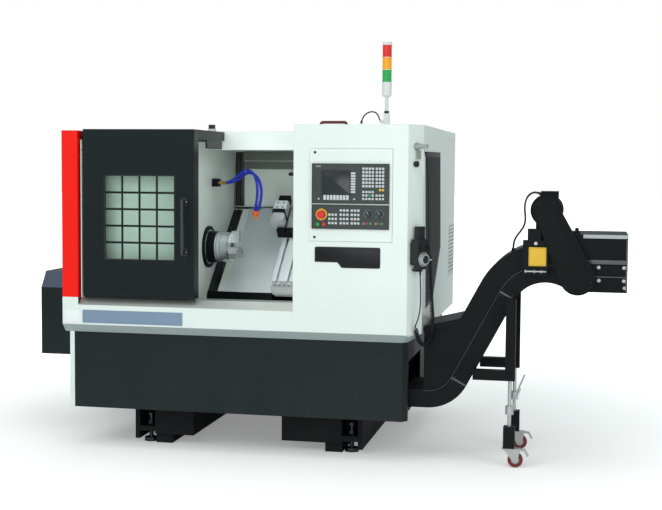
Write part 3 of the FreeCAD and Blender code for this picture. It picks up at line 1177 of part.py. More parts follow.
def model():
    """Every node by name."""
    nodes = {
        "base_casting": base_casting(), "levelling_screws": levelling_screws(),
        "bed_castings": bed_castings(), "skirt_front": skirt_front(),
        "casing_panels": casing_panels(), "right_housing": right_housing(),
        "sill_rail": sill_rail(), "corner_post": corner_post(), "motor_cover": motor_cover(),
        "spindle_wall": spindle_wall(), "rear_liner": rear_liner(), "chip_chute": chip_chute(),
        "coolant_block": coolant_block(), "coolant_nozzle": coolant_nozzle(),
        "coolant_hose_front": cord("coolant_hose_front", HOSE_FRONT, COOLANT_R),
        "coolant_hose_back": cord("coolant_hose_back", HOSE_BACK, COOLANT_R),
        "tower_mast": tower_mast(), "lens_green": tower_lens(0), "lens_amber": tower_lens(1),
        "lens_red": tower_lens(2), "tower_cable": cord("tower_cable", TOWER_CABLE, 3.5),
        "pendant_holder": pendant_holder(), "pendant_body": pendant_body(),
        "pendant_lead": group([cord("pendant_lead", LEAD_DOWN, LEAD_R),
                               cord("pendant_lead, upper", LEAD_UP, LEAD_R)]),
        "pendant_coil": cord("pendant_coil", COIL, COIL_R),
        "conveyor_body": conveyor_body(), "conveyor_cover": conveyor_cover(),
        "drive_guard": drive_guard(), "gear_motor": gear_motor(),
        "motor_cable": cord("motor_cable", MOTOR_CABLE, 5), "conveyor_legs": conveyor_legs(),
        "door_panel": door_panel(), "door_glass": door_glass(), "door_fittings": door_fittings(),
        "spindle": spindle(), "chuck_body": chuck_body(),
        "saddle": saddle(),
        "way_cover_moving": leaf(SADDLE_LEFT - LEAF_LEN, SADDLE_LEFT, 0),
        "way_cover_middle": leaf(WALL_X + 100, WALL_X + 100 + LEAF_LEN, 1),
        "cross_slide": cross_slide(), "tool_post": tool_post(),
        "panel_frame": panel_frame(), "display_unit": display_unit(), "key_panel": key_panel(),
        "estop_button": estop_button(),
        "start_button": push_button(START_X, PUSH_Z, PUSH_R, 6, 10, UNIT_BACK),
        "stop_button": push_button(STOP_X, PUSH_Z, PUSH_R, 6, 10, UNIT_BACK),
        "feed_knob": knob(FEED_X, KNOB_Z), "speed_knob": knob(SPEED_X, KNOB_Z),
        "cabinet_door": cabinet_door(), "pendant_wheel": pendant_wheel(),
    }
    for k in range(3):
        nodes["chuck_jaw_%d" % (k + 1)] = chuck_jaw(k)
    for name, (t, z) in zip(("pendant_knob_left", "pendant_knob_right"), selector_places()):
        nodes[name] = pendant_knob(t, z)
    for name, y in (("front", LEG_FRONT_Y), ("rear", LEG_BACK_Y)):
        nodes["caster_" + name] = caster_fork(y)
        nodes["wheel_" + name] = caster_wheel(y)
    return nodes


CORDS = ("coolant_hose_front", "coolant_hose_back", "tower_cable", "pendant_lead", "pendant_coil",
         "motor_cable")


def origin(nodes):
    """Middle of the machine's footprint, on the floor."""
    box_all = FreeCAD.BoundBox()
    for name, shape in nodes.items():
        if name not in CORDS:
            box_all.add(shape.optimalBoundingBox())
    return V((box_all.XMin + box_all.XMax) / 2, (box_all.YMin + box_all.YMax) / 2, box_all.ZMin)


def main():
    os.makedirs("parts", exist_ok=True)
    nodes = model()
    shift = origin(nodes)
    print("origin", shift, "nodes", len(nodes))
    for name, shape in nodes.items():
        if not shape.isValid():
            print("invalid", name)
        shape.translate(shift * -1)
        shape.exportStep("parts/%s.step" % name)


if __name__ == "__main__":
    main()
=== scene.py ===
"""Looks of a slant-bed turning lathe with its chip conveyor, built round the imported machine."""

from __future__ import annotations

import itertools
import logging
import math
from dataclasses import dataclass
from enum import Enum
from typing import Sequence

import bpy
import numpy as np
from mathutils import Matrix, Vector


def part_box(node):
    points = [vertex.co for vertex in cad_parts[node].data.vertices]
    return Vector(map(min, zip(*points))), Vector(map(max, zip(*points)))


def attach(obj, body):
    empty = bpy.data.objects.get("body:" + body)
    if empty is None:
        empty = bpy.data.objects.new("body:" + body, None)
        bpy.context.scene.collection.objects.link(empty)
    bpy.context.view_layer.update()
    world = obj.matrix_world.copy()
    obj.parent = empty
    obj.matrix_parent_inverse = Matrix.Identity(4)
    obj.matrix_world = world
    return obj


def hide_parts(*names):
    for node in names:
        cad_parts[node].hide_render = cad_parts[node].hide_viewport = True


log = logging.getLogger("lathe")
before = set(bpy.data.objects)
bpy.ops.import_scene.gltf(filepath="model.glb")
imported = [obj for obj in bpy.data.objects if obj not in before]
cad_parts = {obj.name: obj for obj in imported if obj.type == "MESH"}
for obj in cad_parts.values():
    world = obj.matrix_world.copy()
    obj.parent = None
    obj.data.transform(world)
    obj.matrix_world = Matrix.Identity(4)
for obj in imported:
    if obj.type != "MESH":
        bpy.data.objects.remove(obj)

Array = np.ndarray
Point = Sequence[float]
Axes = tuple[Array, Array, Array]
Span = tuple[float, float, float, float]
Tint = tuple[float, float, float, float]
Socket = bpy.types.NodeSocket


# ---- places -------------------------------------------------------------------------------------
@dataclass(frozen=True)
class Datum:
    """Turns machine sizes, in millimetres from the corner post's foot, into scene metres."""

    x: float
    y: float

    @classmethod
    def from_frame(cls) -> "Datum":
        """Datum at the outer front corner of the red corner post."""
        low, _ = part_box("corner_post")
        return cls(low[0], low[1])

    def at(self, x: float, y: float, z: float) -> Array:
        """Scene point of one machine point."""
        return np.array([self.x + x / 1000, self.y + y / 1000, z / 1000])

    def along(self, points: Sequence[Point]) -> Array:
        """Scene points of several machine points."""
        return np.array([self.x, self.y, 0.0]) + np.asarray(points, float) / 1000

    def grid(self, x: Point, y: Point, z: Point) -> list[Array]:
        """Scene points of every pairing of the values on each axis, z changing fastest."""
        return [self.at(*point) for point in itertools.product(x, y, z)]


DATUM = Datum.from_frame()
RIGHT, BACK, UP = np.eye(3)
MM = 0.001
SUNK = -0.3  # Height over its face, in millimetres, at which a fitted piece starts.
SHEET_SCREW = 4.5  # Head radius in millimetres.


class Way(Enum):
    """Directions that faces of the machine look in, each as (right, up) of that face."""

    FRONT = ((1, 0, 0), (0, 0, 1))
    SIDE = ((0, 1, 0), (0, 0, 1))
    REAR = ((-1, 0, 0), (0, 0, 1))
    TOP = ((1, 0, 0), (0, 1, 0))

    @property
    def axes(self) -> Axes:
        """Right, up and outward directions."""
        right, up = (np.array(axis, float) for axis in self.value)
        return right, up, np.cross(right, up)


@dataclass(frozen=True)
class Chamfer:
    """The slanting face at the machine's front right corner."""

    start: tuple[float, float] = (1800.0, 0.0)
    run: tuple[float, float] = (64.0, 86.0)

    @property
    def axes(self) -> Axes:
        """Right, up and outward directions of the chamfer."""
        right = np.array([*self.run, 0.0]) / math.hypot(*self.run)
        return right, UP, np.cross(right, UP)

    def at(self, t: float, z: float, out: float = 0.0) -> Array:
        """Point t along the chamfer from its front edge, out from its face, in scene metres."""
        right, _, normal = self.axes
        return DATUM.at(*self.start, z) + (right * t + normal * out) * MM


# ---- meshes -------------------------------------------------------------------------------------
def linked(name: str, data: bpy.types.ID) -> bpy.types.Object:
    """New object in the scene."""
    made = bpy.data.objects.new(name, data)
    bpy.context.collection.objects.link(made)
    return made


@dataclass
class Shape:
    """Vertices and faces of a closed surface, in scene metres."""

    verts: Array
    faces: list[Array]

    @classmethod
    def grid(cls, points: Array, wrap: bool = True, caps: bool = True) -> "Shape":
        """Joins rings of points into a skin of quads.

        Face (i, j) takes points (i, j), (i, j+1), (i+1, j+1) and (i+1, j), so it looks outwards when
        each ring turns anticlockwise as seen from the end that the rings advance to.

        Args:
            points: Rings by points by 3.
            wrap: Whether each ring closes on itself.
            caps: Whether the first and last rings are closed with a flat face.

        Returns:
            The closed skin.
        """
        rings, count, _ = points.shape
        index = np.arange(rings * count).reshape(rings, count)
        ahead = np.roll(index, -1, axis=1) if wrap else index[:, 1:]
        base = index if wrap else index[:, :-1]
        quads = np.stack([base[:-1], ahead[:-1], ahead[1:], base[1:]], axis=-1).reshape(-1, 4)
        faces = list(quads)
        if caps and wrap:
            faces += [index[0][::-1], index[-1]]
        return cls(points.reshape(-1, 3), faces)

    @classmethod
    def skin(cls, rings: Array, centre: Array, axes: Axes, caps: bool = True) -> "Shape":
        """Skin over rings of points given as (right, up, out) in a face's own millimetres."""
        return cls.grid(placed(rings, centre, axes), caps=caps)

    @classmethod
    def joined(cls, shapes: Sequence["Shape"]) -> "Shape":
        """Puts several shapes into one."""
        starts = np.cumsum([0] + [len(s.verts) for s in shapes[:-1]])
        faces = [face + start for s, start in zip(shapes, starts) for face in s.faces]
        return cls(np.concatenate([s.verts for s in shapes]), faces)

    def repeated(self, offsets: Array) -> "Shape":
        """Copies of the shape moved by each offset, in scene metres."""
        return Shape.joined([Shape(self.verts + offset, self.faces) for offset in offsets])

    def piece(self, name: str, finish: "Finish", body: str = "machine", sharp: float = 35.0) -> bpy.types.Object:
        """Makes the scene object, dressed and riding on its body.

        Args:
            name: Piece name.
            finish: Finish that dresses it.
            body: Body that it moves with.
            sharp: Angle in degrees over which an edge stays sharp.

        Returns:
            The new object.
        """
        mesh = bpy.data.meshes.new(name)
        mesh.from_pydata(self.verts.tolist(), [], [face.tolist() for face in self.faces])
        mesh.shade_smooth()
        mesh.set_sharp_from_angle(angle=math.radians(sharp))
        mesh.materials.append(finish.material())
        piece = linked(name, mesh)
        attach(piece, body)
        log.info("%s: %d faces", name, len(self.faces))
        return piece


def placed(flat: Array, centre: Array, axes: Axes) -> Array:
    """Carries points (right, up, out) in millimetres to their place.

    Args:
        flat: Points along the face's right, up and outward directions, in the last dimension.
        centre: Place of the face's own origin, in scene metres.
        axes: The face's directions.

    Returns:
        Points in scene metres: centre + right*r + up*u + out*o.
    """
    return centre + flat @ np.stack(axes) * MM


def rounded_rectangle(width: float, height: float, radius: float, steps: int = 5) -> Array:
    """Outline of a rectangle with quarter-circle corners, anticlockwise: corner + radius*(cos, sin)."""
    radius = max(0.01, min(radius, width / 2 - 0.001, height / 2 - 0.001))
    turn = np.linspace(0, math.pi / 2, steps)
    angles = (np.arange(4)[:, None] * math.pi / 2 + turn).ravel()
    corner_x = np.repeat([1, -1, -1, 1], steps) * (width / 2 - radius)
    corner_y = np.repeat([1, 1, -1, -1], steps) * (height / 2 - radius)
    return np.stack([corner_x + radius * np.cos(angles), corner_y + radius * np.sin(angles)], axis=-1)


def inset(outline: Array, distance: float) -> Array:
    """Outline moved inwards: each point goes along its own inward normal, mitred at corners."""
    ahead = np.roll(outline, -1, axis=0) - outline
    ahead /= np.linalg.norm(ahead, axis=1, keepdims=True) + 1e-12
    behind = np.roll(ahead, 1, axis=0)
    normals = np.stack([-(ahead + behind)[:, 1], (ahead + behind)[:, 0]], axis=-1)
    lengths = np.maximum(0.5, np.sum(normals * normals, axis=1, keepdims=True) / 2)
    return outline + normals / lengths * distance


def slab(outline: Array, depth: float, edge: float, centre: Array, axes: Axes, base: float = 0.0) -> Shape:
    """Flat plate whose front edge is rounded: rings inset by edge*(1-cos a) and raised by edge*sin a.

    Args:
        outline: Anticlockwise outline, in millimetres.
        depth: Height of the plate's face over its back.
        edge: Radius of its front edge.
        centre: Scene place of the outline's origin.
        axes: Right, up and outward directions.
        base: Height of its back over the centre.

    Returns:
        The closed plate.
    """
    angles = np.linspace(0, math.pi / 2, 4)
    insets = np.concatenate([[0.0], edge * (1 - np.cos(angles))])
    heights = np.concatenate([[0.0], depth - edge + edge * np.sin(angles)]) + base
    rings = np.stack([np.column_stack([inset(outline, i), np.full(len(outline), h)])
                      for i, h in zip(insets, heights)])
    return Shape.skin(rings, centre, axes)


def turned(profile: Sequence[Point], centre: Array, axes: Axes, sides: int = 32, caps: bool = True) -> Shape:
    """Body of revolution: (r cos a, r sin a, h) for each profile point (r, h), in millimetres.

    Args:
        profile: Radius and height pairs from the back to the front.
        centre: Scene place of the axis' foot.
        axes: Two directions across the axis and the axis itself.
        sides: Number of points round the axis.
        caps: Whether its ends are closed, which a profile that ends where it starts doesn't need.

    Returns:
        The closed body.
    """
    angles = np.arange(sides) * 2 * math.pi / sides
    r, h = np.asarray(profile, float).T
    rings = np.stack([r[:, None] * np.cos(angles), r[:, None] * np.sin(angles),
                      np.repeat(h[:, None], sides, axis=1)], axis=-1)
    return Shape.skin(rings, centre, axes, caps)


def axes_along(direction: Point) -> Axes:
    """Two directions across a given one, and it."""
    out = np.asarray(direction, float)
    out = out / np.linalg.norm(out)
    helper = UP if abs(out @ UP) < 0.9 else RIGHT
    right = np.cross(helper, out)
    right /= np.linalg.norm(right)
    return right, np.cross(out, right), out


def headings(path: Array) -> Array:
    """Unit direction of a line of points at each point."""
    tangent = np.gradient(path, axis=0)
    return tangent / np.linalg.norm(tangent, axis=1, keepdims=True)


def across(path: Array, reference: Array) -> tuple[Array, Array]:
    """Two unit directions across a path at each point: its heading x the reference, and its heading x that."""
    side = np.cross(headings(path), np.broadcast_to(reference, path.shape))
    side /= np.linalg.norm(side, axis=1, keepdims=True)
    return side, np.cross(headings(path), side)


def tube(path: Array, radius: float | Array, reference: Array, sides: int = 10) -> Shape:
    """Round tube along a path: path + r*(side cos a + lift sin a).

    Args:
        path: Points in scene metres.
        radius: Radius in millimetres, one for all or one a point.
        reference: Direction that is never along the path, one for all or one a point.
        sides: Points round the tube.

    Returns:
        The closed tube.
    """
    side, lift = across(path, reference)
    angles = np.arange(sides) * 2 * math.pi / sides
    r = np.broadcast_to(radius, len(path))[:, None, None] * MM
    rings = path[:, None] + r * (side[:, None] * np.cos(angles)[:, None] + lift[:, None] * np.sin(angles)[:, None])
    return Shape.grid(rings)


def route_curve(name: str, route: Sequence[Point]) -> bpy.types.Curve:
    """Curve data with one smooth spline through the field of a route's control points."""
    data = bpy.data.curves.new(name, "CURVE")
    data.dimensions = "3D"
    spline = data.splines.new("NURBS")
    spline.points.add(len(route) - 1)
    places = np.column_stack([DATUM.along(route), np.ones(len(route))])
    spline.points.foreach_set("co", places.ravel())
    spline.order_u = 3
    spline.use_endpoint_u = True
    spline.resolution_u = 16
    return data


def route_points(route: Sequence[Point], step: float) -> Array:
    """Points a step apart along a route's smooth line.

    Args:
        route: Control points in machine millimetres.
        step: Distance between points in millimetres.

    Returns:
        Points in scene metres, spaced evenly by arc length.
    """
    data = route_curve("route", route)
    holder = bpy.data.objects.new("route", data)
    mesh = bpy.data.meshes.new_from_object(holder)
    fine = np.empty(len(mesh.vertices) * 3)
    mesh.vertices.foreach_get("co", fine)
    fine = fine.reshape(-1, 3)
    bpy.data.objects.remove(holder)
    bpy.data.meshes.remove(mesh)
    bpy.data.curves.remove(data)
    run = np.concatenate([[0.0], np.cumsum(np.linalg.norm(np.diff(fine, axis=0), axis=1))])
    count = max(4, round(run[-1] / (step * MM)))
    even = np.linspace(0, run[-1], count + 1)
    return np.column_stack([np.interp(even, run, fine[:, k]) for k in range(3)])


# ---- finishes -----------------------------------------------------------------------------------
class Graph:
    """Short way to write a node tree."""

    def __init__(self, tree: bpy.types.NodeTree) -> None:
        """Writes into a material's, group's or world's tree."""
        self.tree = tree

    def fill(self, node: bpy.types.Node, values: dict) -> bpy.types.Node:
        """Links each input whose value is an output socket, and sets the others.

        Args:
            node: The node.
            values: Input name or number to a value or an output socket.

        Returns:
            The node.
        """
        for key, value in values.items():
            if isinstance(value, Socket):
                self.tree.links.new(value, node.inputs[key])
            else:
                node.inputs[key].default_value = value
        return node

    def add(self, kind: str, inputs: dict | None = None, **props) -> bpy.types.NodeOutputs:
        """Adds a node, sets its properties and fills its inputs.

        Args:
            kind: Node type name after "ShaderNode", or in full where it starts with "Node".
            inputs: Input name or number to a value or an output socket.
            **props: Node properties.

        Returns:
            The node's outputs.
        """
        node = self.tree.nodes.new(kind if kind.startswith("Node") else "ShaderNode" + kind)
        for key, value in props.items():
            setattr(node, key, value)
        return self.fill(node, inputs or {}).outputs

    def ramp(self, value: Socket, low: float, high: float) -> Socket:
        """Value stretched so that low is 0 and high is 1."""
        return self.add("MapRange", {"Value": value, "From Min": low, "From Max": high})[0]

    def maths(self, operation: str, a: object, b: object) -> Socket:
        """Result of one sum on two values."""
        return self.add("Math", {0: a, 1: b}, operation=operation)[0]

    def times(self, a: object, b: object) -> Socket:
        """Product of two values."""
        return self.maths("MULTIPLY", a, b)

    def plus(self, a: object, b: object) -> Socket:
        """Sum of two values."""
        return self.maths("ADD", a, b)

    def noise(self, place: Socket, scale: object, detail: float, **more: float) -> Socket:
        """Cloudy value between 0 and 1."""
        return self.add("TexNoise", {"Vector": place, "Scale": scale, "Detail": detail, **more})[0]

    def wave(self, place: Socket, scale: float, way: str) -> Socket:
        """Bands that rise and fall along one axis."""
        return self.add("TexWave", {"Vector": place, "Scale": scale}, bands_direction=way)["Fac"]

    def blend(self, factor: object, a: object, b: object) -> Socket:
        """Colour a, or b where the factor is 1."""
        return self.add("Mix", {0: factor, 6: a, 7: b}, data_type="RGBA")[2]

    def group(self, key: str, **inputs: object) -> bpy.types.NodeOutputs:
        """Places one of the shared effects."""
        return self.add("Group", inputs, node_tree=GROUPS[key])

    def bump(self, height: Socket, strength: float, distance: float = 0.001,
             edge: bpy.types.NodeOutputs | None = None) -> Socket:
        """Normal raised by a height, over softened edges if they are given."""
        over = {"Normal": edge["Normal"]} if edge else {}
        return self.add("Bump", {"Height": height, "Strength": strength, "Distance": distance, **over})[0]


def new_group(name: str, inputs: dict[str, object], outputs: Sequence[str]) -> tuple[Graph, bpy.types.NodeOutputs]:
    """Empty shader group with named sockets.

    Args:
        name: Group name.
        inputs: Socket name to its default, a float or a vector.
        outputs: Names of its outputs, all floats but "Normal".

    Returns:
        The group's graph and what comes in through its inputs.
    """
    tree = bpy.data.node_groups.new(name, "ShaderNodeTree")
    for key, default in inputs.items():
        kind = "Float" if isinstance(default, float) else "Vector"
        tree.interface.new_socket(key, in_out="INPUT", socket_type="NodeSocket" + kind).default_value = default
    for key in outputs:
        kind = "Vector" if key == "Normal" else "Float"
        tree.interface.new_socket(key, in_out="OUTPUT", socket_type="NodeSocket" + kind)
    graph = Graph(tree)
    return graph, graph.add("NodeGroupInput")


def build_grain() -> bpy.types.NodeTree:
    """Fine unevenness of a coated or moulded face: two noises, one eight times coarser."""
    g, given = new_group("surface_grain", {"Vector": (0, 0, 0), "Scale": 400.0}, ("Height", "Mask"))
    fine = g.noise(given["Vector"], given["Scale"], 3.0)
    coarse = g.noise(given["Vector"], g.times(given["Scale"], 0.125), 2.0)
    height = g.plus(g.times(fine, 0.7), g.times(coarse, 0.3))
    g.add("NodeGroupOutput", {"Height": height, "Mask": g.ramp(coarse, 0.4, 0.65)})
    return g.tree


def build_soiling() -> bpy.types.NodeTree:
    """Patchy handling marks and dust that drag downwards: noise squeezed across and stretched in height."""
    g, given = new_group("soiling", {"Vector": (0, 0, 0), "Scale": 3.0, "Drag": 0.35, "Low": 0.0, "High": 0.3},
                         ("Mask", "Foot"))
    stretch = g.add("CombineXYZ", {0: 1.0, 1: 1.0, 2: given["Drag"]})[0]
    squeezed = g.add("VectorMath", {0: given["Vector"], 1: stretch}, operation="MULTIPLY")[0]
    noise = g.noise(squeezed, given["Scale"], 8.0, Roughness=0.62)
    height = g.add("SeparateXYZ", {0: given["Vector"]})[2]
    foot = g.times(g.ramp(height, given["High"], given["Low"]), g.ramp(noise, 0.3, 0.7))
    g.add("NodeGroupOutput", {"Mask": g.ramp(noise, 0.45, 0.75), "Foot": foot})
    return g.tree


def build_brushing() -> bpy.types.NodeTree:
    """Long fine scratches: noise on coordinates multiplied by a stretch along each axis."""
    g, given = new_group("brushing", {"Vector": (0, 0, 0), "Stretch": (1, 40, 40), "Scale": 60.0}, ("Height", "Mask"))
    drawn = g.add("VectorMath", {0: given["Vector"], 1: given["Stretch"]}, operation="MULTIPLY")[0]
    cloud = g.noise(given["Vector"], 7.0, 3.0)
    g.add("NodeGroupOutput", {"Height": g.noise(drawn, given["Scale"], 4.0), "Mask": g.ramp(cloud, 0.35, 0.7)})
    return g.tree


def build_edges() -> bpy.types.NodeTree:
    """Where the surface turns: one minus how far a rounded normal agrees with the true one."""
    g, given = new_group("edges", {"Reach": 0.003}, ("Mask", "Normal"))
    soft = g.add("Bevel", {"Radius": given["Reach"]}, samples=4)[0]
    true = g.add("NewGeometry")["Normal"]
    agree = g.add("VectorMath", {0: soft, 1: true}, operation="DOT_PRODUCT")["Value"]
    g.add("NodeGroupOutput", {"Mask": g.ramp(agree, 0.995, 0.9), "Normal": soft})
    return g.tree


GROUPS = {"grain": build_grain(), "soiling": build_soiling(), "brushing": build_brushing(), "edges": build_edges()}


def colour(hexa: str) -> Tint:
    """Linear colour of a screen colour such as "c0d0e0"."""
    screen = np.array([int(hexa[k:k + 2], 16) for k in (0, 2, 4)]) / 255
    linear = np.where(screen <= 0.04045, screen / 12.92, ((screen + 0.055) / 1.055) ** 2.4)
    return (*map(float, linear), 1.0)


def shade(value: Tint, factor: float) -> Tint:
    """Colour made darker or lighter."""
    return (*(min(1.0, c * factor) for c in value[:3]), 1.0)


MADE: dict[str, bpy.types.Material] = {}
DUST = (0.32, 0.31, 0.29, 1.0)


@dataclass(frozen=True)
class Finish:
    """A surface finish. Its material is made once and shared."""

    name: str
    tint: Tint
    roughness: float = 0.4
    grain: float = 500.0
    depth: float = 0.05
    marks: float = 0.06

    def material(self) -> bpy.types.Material:
        """The finish's material, made on first use in object coordinates."""
        if self.name not in MADE:
            made = MADE[self.name] = bpy.data.materials.new(self.name)
            made.use_nodes = True
            graph = Graph(made.node_tree)
            values = self.values(graph, graph.add("TexCoord")["Object"])
            graph.fill(made.node_tree.nodes["Principled BSDF"], values)
        return MADE[self.name]

    def stained(self, g: Graph, mask: Socket, amount: float, factor: float, body: object = None) -> Socket:
        """Body, or the plain tint, that turns to a darker or lighter tint by an amount of a mask."""
        return g.blend(g.times(mask, amount), body or self.tint, shade(self.tint, factor))

    def values(self, g: Graph, place: Socket) -> dict[str, object]:
        """Coated or moulded face: grain in the normal, marks in colour and gloss.

        Args:
            g: The material's graph.
            place: Object coordinates.

        Returns:
            The shader's input names to their values or sockets.
        """
        grain = g.group("grain", Vector=place, Scale=self.grain)
        soil = g.group("soiling", Vector=place)["Mask"]
        return {"Base Color": self.stained(g, soil, self.marks, 0.55),
                "Roughness": g.plus(g.times(soil, 0.12), g.plus(g.times(grain["Mask"], 0.05), self.roughness)),
                "Normal": g.bump(grain["Height"], self.depth)}


@dataclass(frozen=True)
class Paint(Finish):
    """Baked paint with orange peel, a clear gloss, worn edges and dust near its foot."""

    coat: float = 0.25
    wear: float = 0.25
    worn: Tint = (0.5, 0.5, 0.5, 1.0)
    dust: float = 0.15
    dust_low: float = 0.2
    dust_high: float = 0.7
    shine: float = 0.25

    def values(self, g: Graph, place: Socket) -> dict[str, object]:
        """Paint: soiling darkens it, its edges show the layer below, and dust lies towards its foot."""
        grain = g.group("grain", Vector=place, Scale=self.grain)
        soil = g.group("soiling", Vector=place, Low=self.dust_low, High=self.dust_high)
        edge = g.group("edges")
        dusty = g.blend(g.times(soil["Foot"], self.dust), self.stained(g, soil["Mask"], self.marks, 0.6), DUST)
        chipped = g.times(g.times(edge["Mask"], grain["Mask"]), self.wear)
        return {"Base Color": g.blend(chipped, dusty, self.worn),
                "Roughness": g.plus(g.times(soil["Mask"], 0.1), g.plus(g.times(soil["Foot"], 0.2), self.roughness)),
                "Coat Weight": self.coat, "Coat Roughness": 0.12, "Specular IOR Level": self.shine,
                "Normal": g.bump(grain["Height"], self.depth, edge=edge)}


@dataclass(frozen=True)
class Metal(Finish):
    """Bare metal with drawn scratches and faint stains."""

    stretch: tuple[float, float, float] = (1.0, 30.0, 30.0)
    lines: float = 60.0
    metallic: float = 1.0

    def values(self, g: Graph, place: Socket) -> dict[str, object]:
        """Metal: scratches in gloss and normal, clouds in colour, bright turned edges."""
        brush = g.group("brushing", Vector=place, Stretch=self.stretch, Scale=self.lines)
        edge = g.group("edges", Reach=0.0015)
        body = self.stained(g, brush["Mask"], self.marks * 4, 0.7)
        return {"Base Color": self.stained(g, edge["Mask"], 0.4, 1.3, body),
                "Roughness": g.plus(g.times(brush["Height"], 0.16), self.roughness - 0.08),
                "Metallic": self.metallic,
                "Normal": g.bump(brush["Height"], self.depth, 0.0004, edge)}


@dataclass(frozen=True)
class Clear(Finish):
    """Clear sheet glass with a faint green cast and wipe marks."""

    body: float = 0.3

    def values(self, g: Graph, place: Socket) -> dict[str, object]:
        """Glass: mostly see-through, with smears in its gloss."""
        soil = g.group("soiling", Vector=place, Scale=9.0)["Mask"]
        return {"Base Color": g.blend(soil, self.tint, shade(self.tint, 0.93)),
                "Roughness": g.plus(g.times(soil, 0.05), self.roughness),
                "Transmission Weight": 1.0, "Alpha": self.body, "IOR": 1.05}


@dataclass(frozen=True)
class Lens(Finish):
    """Coloured lamp lens with fine ribs round it and a glow from inside."""

    glow: float = 0.25

    def values(self, g: Graph, place: Socket) -> dict[str, object]:
        """Lens: ribs are a wave in height, and the glow follows them."""
        wave = g.wave(place, 130.0, "Z")
        soil = g.group("soiling", Vector=place, Scale=20.0)["Mask"]
        body = self.stained(g, wave, 0.45, 0.45)
        return {"Base Color": body, "Emission Color": body, "Emission Strength": self.glow,
                "Roughness": g.plus(g.times(soil, 0.1), self.roughness),
                "Normal": g.bump(wave, 0.35)}


@dataclass(frozen=True)
class Backdrop(Finish):
    """Studio floor that keeps the contact shadow near the machine and runs out to plain white."""

    near: float = 1.2
    far: float = 5.0
    lift: float = 0.25

    def values(self, g: Graph, place: Socket) -> dict[str, object]:
        """Floor: the camera sees an added white, low near the middle and full at a distance."""
        grain = g.group("grain", Vector=place, Scale=self.grain)["Mask"]
        away = g.add("VectorMath", {0: place}, operation="LENGTH")["Value"]
        fade = g.add("MapRange", {"Value": away, "From Min": self.near, "From Max": self.far, "To Min": self.lift,
                                  "To Max": 1.0}, interpolation_type="SMOOTHSTEP")[0]
        seen = g.add("LightPath")["Is Camera Ray"]
        return {"Base Color": self.stained(g, grain, self.marks, 0.9),
                "Roughness": self.roughness, "Specular IOR Level": 0.1,
                "Emission Color": (1.0, 1.0, 1.0, 1.0), "Emission Strength": g.times(fade, seen)}


@dataclass(frozen=True)
class Meshed(Finish):
    """Fine perforated sheet: two sets of close bands that cross."""

    bands: float = 110.0

    def values(self, g: Graph, place: Socket) -> dict[str, object]:
        """Perforated look: band times band gives dots, which darken it and sink."""
        dots = g.times(g.wave(place, self.bands, "Y"), g.wave(place, self.bands, "Z"))
        soil = g.group("soiling", Vector=place)["Mask"]
        return {"Base Color": self.stained(g, soil, self.marks, 1.4, self.stained(g, dots, 0.6, 0.35)),
                "Roughness": self.roughness, "Specular IOR Level": 0.15,
                "Normal": g.bump(g.maths("SUBTRACT", 1.0, dots), 0.3)}


WHITE = Paint("white_paint", colour("e4eeea"), 0.30, 700.0, 0.04, 0.05, coat=0.3, wear=0.1, dust=0.06,
              dust_low=0.6, dust_high=0.9, shine=0.4)
# Grey paint on the bevel sheets under the white front: painted shade of the white paint, which faces down.
BEVEL_SHADE = Paint("bevel_painted_shade", colour("a3b0b0"), 0.36, 700.0, 0.04, 0.05, coat=0.05, wear=0.1, dust=0.0)
LINER = Paint("liner_paint", colour("dfe9e3"), 0.34, 700.0, 0.05, 0.16, coat=0.15, wear=0.2, dust=0.10,
              dust_low=0.7, dust_high=1.1, shine=0.4)
CHARCOAL = Paint("charcoal_paint", colour("182023"), 0.36, 900.0, 0.06, 0.10, coat=0.02, wear=0.2,
                 worn=colour("464c55"), dust=0.02, shine=0.13)
SKIRT = Paint("skirt_paint", colour("1c2527"), 0.40, 900.0, 0.07, 0.12, coat=0.02, wear=0.2,
              worn=colour("464c55"), dust=0.04, shine=0.13)
RED = Paint("red_paint", colour("f61206"), 0.34, 800.0, 0.05, 0.06, coat=0.03, wear=0.15, worn=colour("7a1c16"))
BLACK = Paint("black_paint", colour("0e1314"), 0.44, 900.0, 0.08, 0.14, coat=0.01, wear=0.25,
              worn=colour("404244"), dust=0.03, dust_low=0.0, dust_high=0.5, shine=0.11)
IRON = Paint("casting_paint", colour("0f1315"), 0.55, 260.0, 0.35, 0.2, coat=0.0, wear=0.3, worn=colour("404245"),
             dust=0.05, dust_low=0.0, dust_high=0.4, shine=0.12)
MESHED = Meshed("perforated_sheet", colour("1c242b"), 0.6, marks=0.08)
SLATE = Paint("slate_panel", colour("20282f"), 0.46, 600.0, 0.06, 0.08, coat=0.04, wear=0.1, dust=0.0)
STAINLESS = Metal("stainless_sheet", colour("b4b8b4"), 0.34, depth=0.06, marks=0.06, stretch=(1.0, 40.0, 40.0),
                  metallic=0.8)
COVER_STEEL = Metal("cover_steel", colour("d9e2e4"), 0.42, depth=0.05, marks=0.06, stretch=(30.0, 1.0, 1.3),
                    metallic=0.35)
GROUND = Metal("ground_steel", colour("c4c9ca"), 0.34, depth=0.08, marks=0.07, stretch=(40.0, 1.0, 1.0), lines=90.0,
               metallic=0.55)
TURNED = Metal("turned_steel", colour("e2e9ea"), 0.24, depth=0.05, marks=0.03, stretch=(60.0, 3.0, 3.0), lines=80.0,
               metallic=0.8)
DARK_STEEL = Metal("dark_steel", colour("4b4d50"), 0.40, depth=0.10, marks=0.08, stretch=(20.0, 20.0, 20.0))
ZINC = Metal("zinc_plate", colour("c2c4c4"), 0.34, depth=0.10, marks=0.09, stretch=(9.0, 9.0, 14.0), lines=50.0,
             metallic=0.8)
BRASS = Metal("brass", colour("c9a25a"), 0.28, depth=0.06, marks=0.08, stretch=(30.0, 4.0, 4.0), metallic=0.8)
BLACK_PLASTIC = Finish("black_plastic", colour("161719"), 0.42, 900.0, 0.10, 0.10)
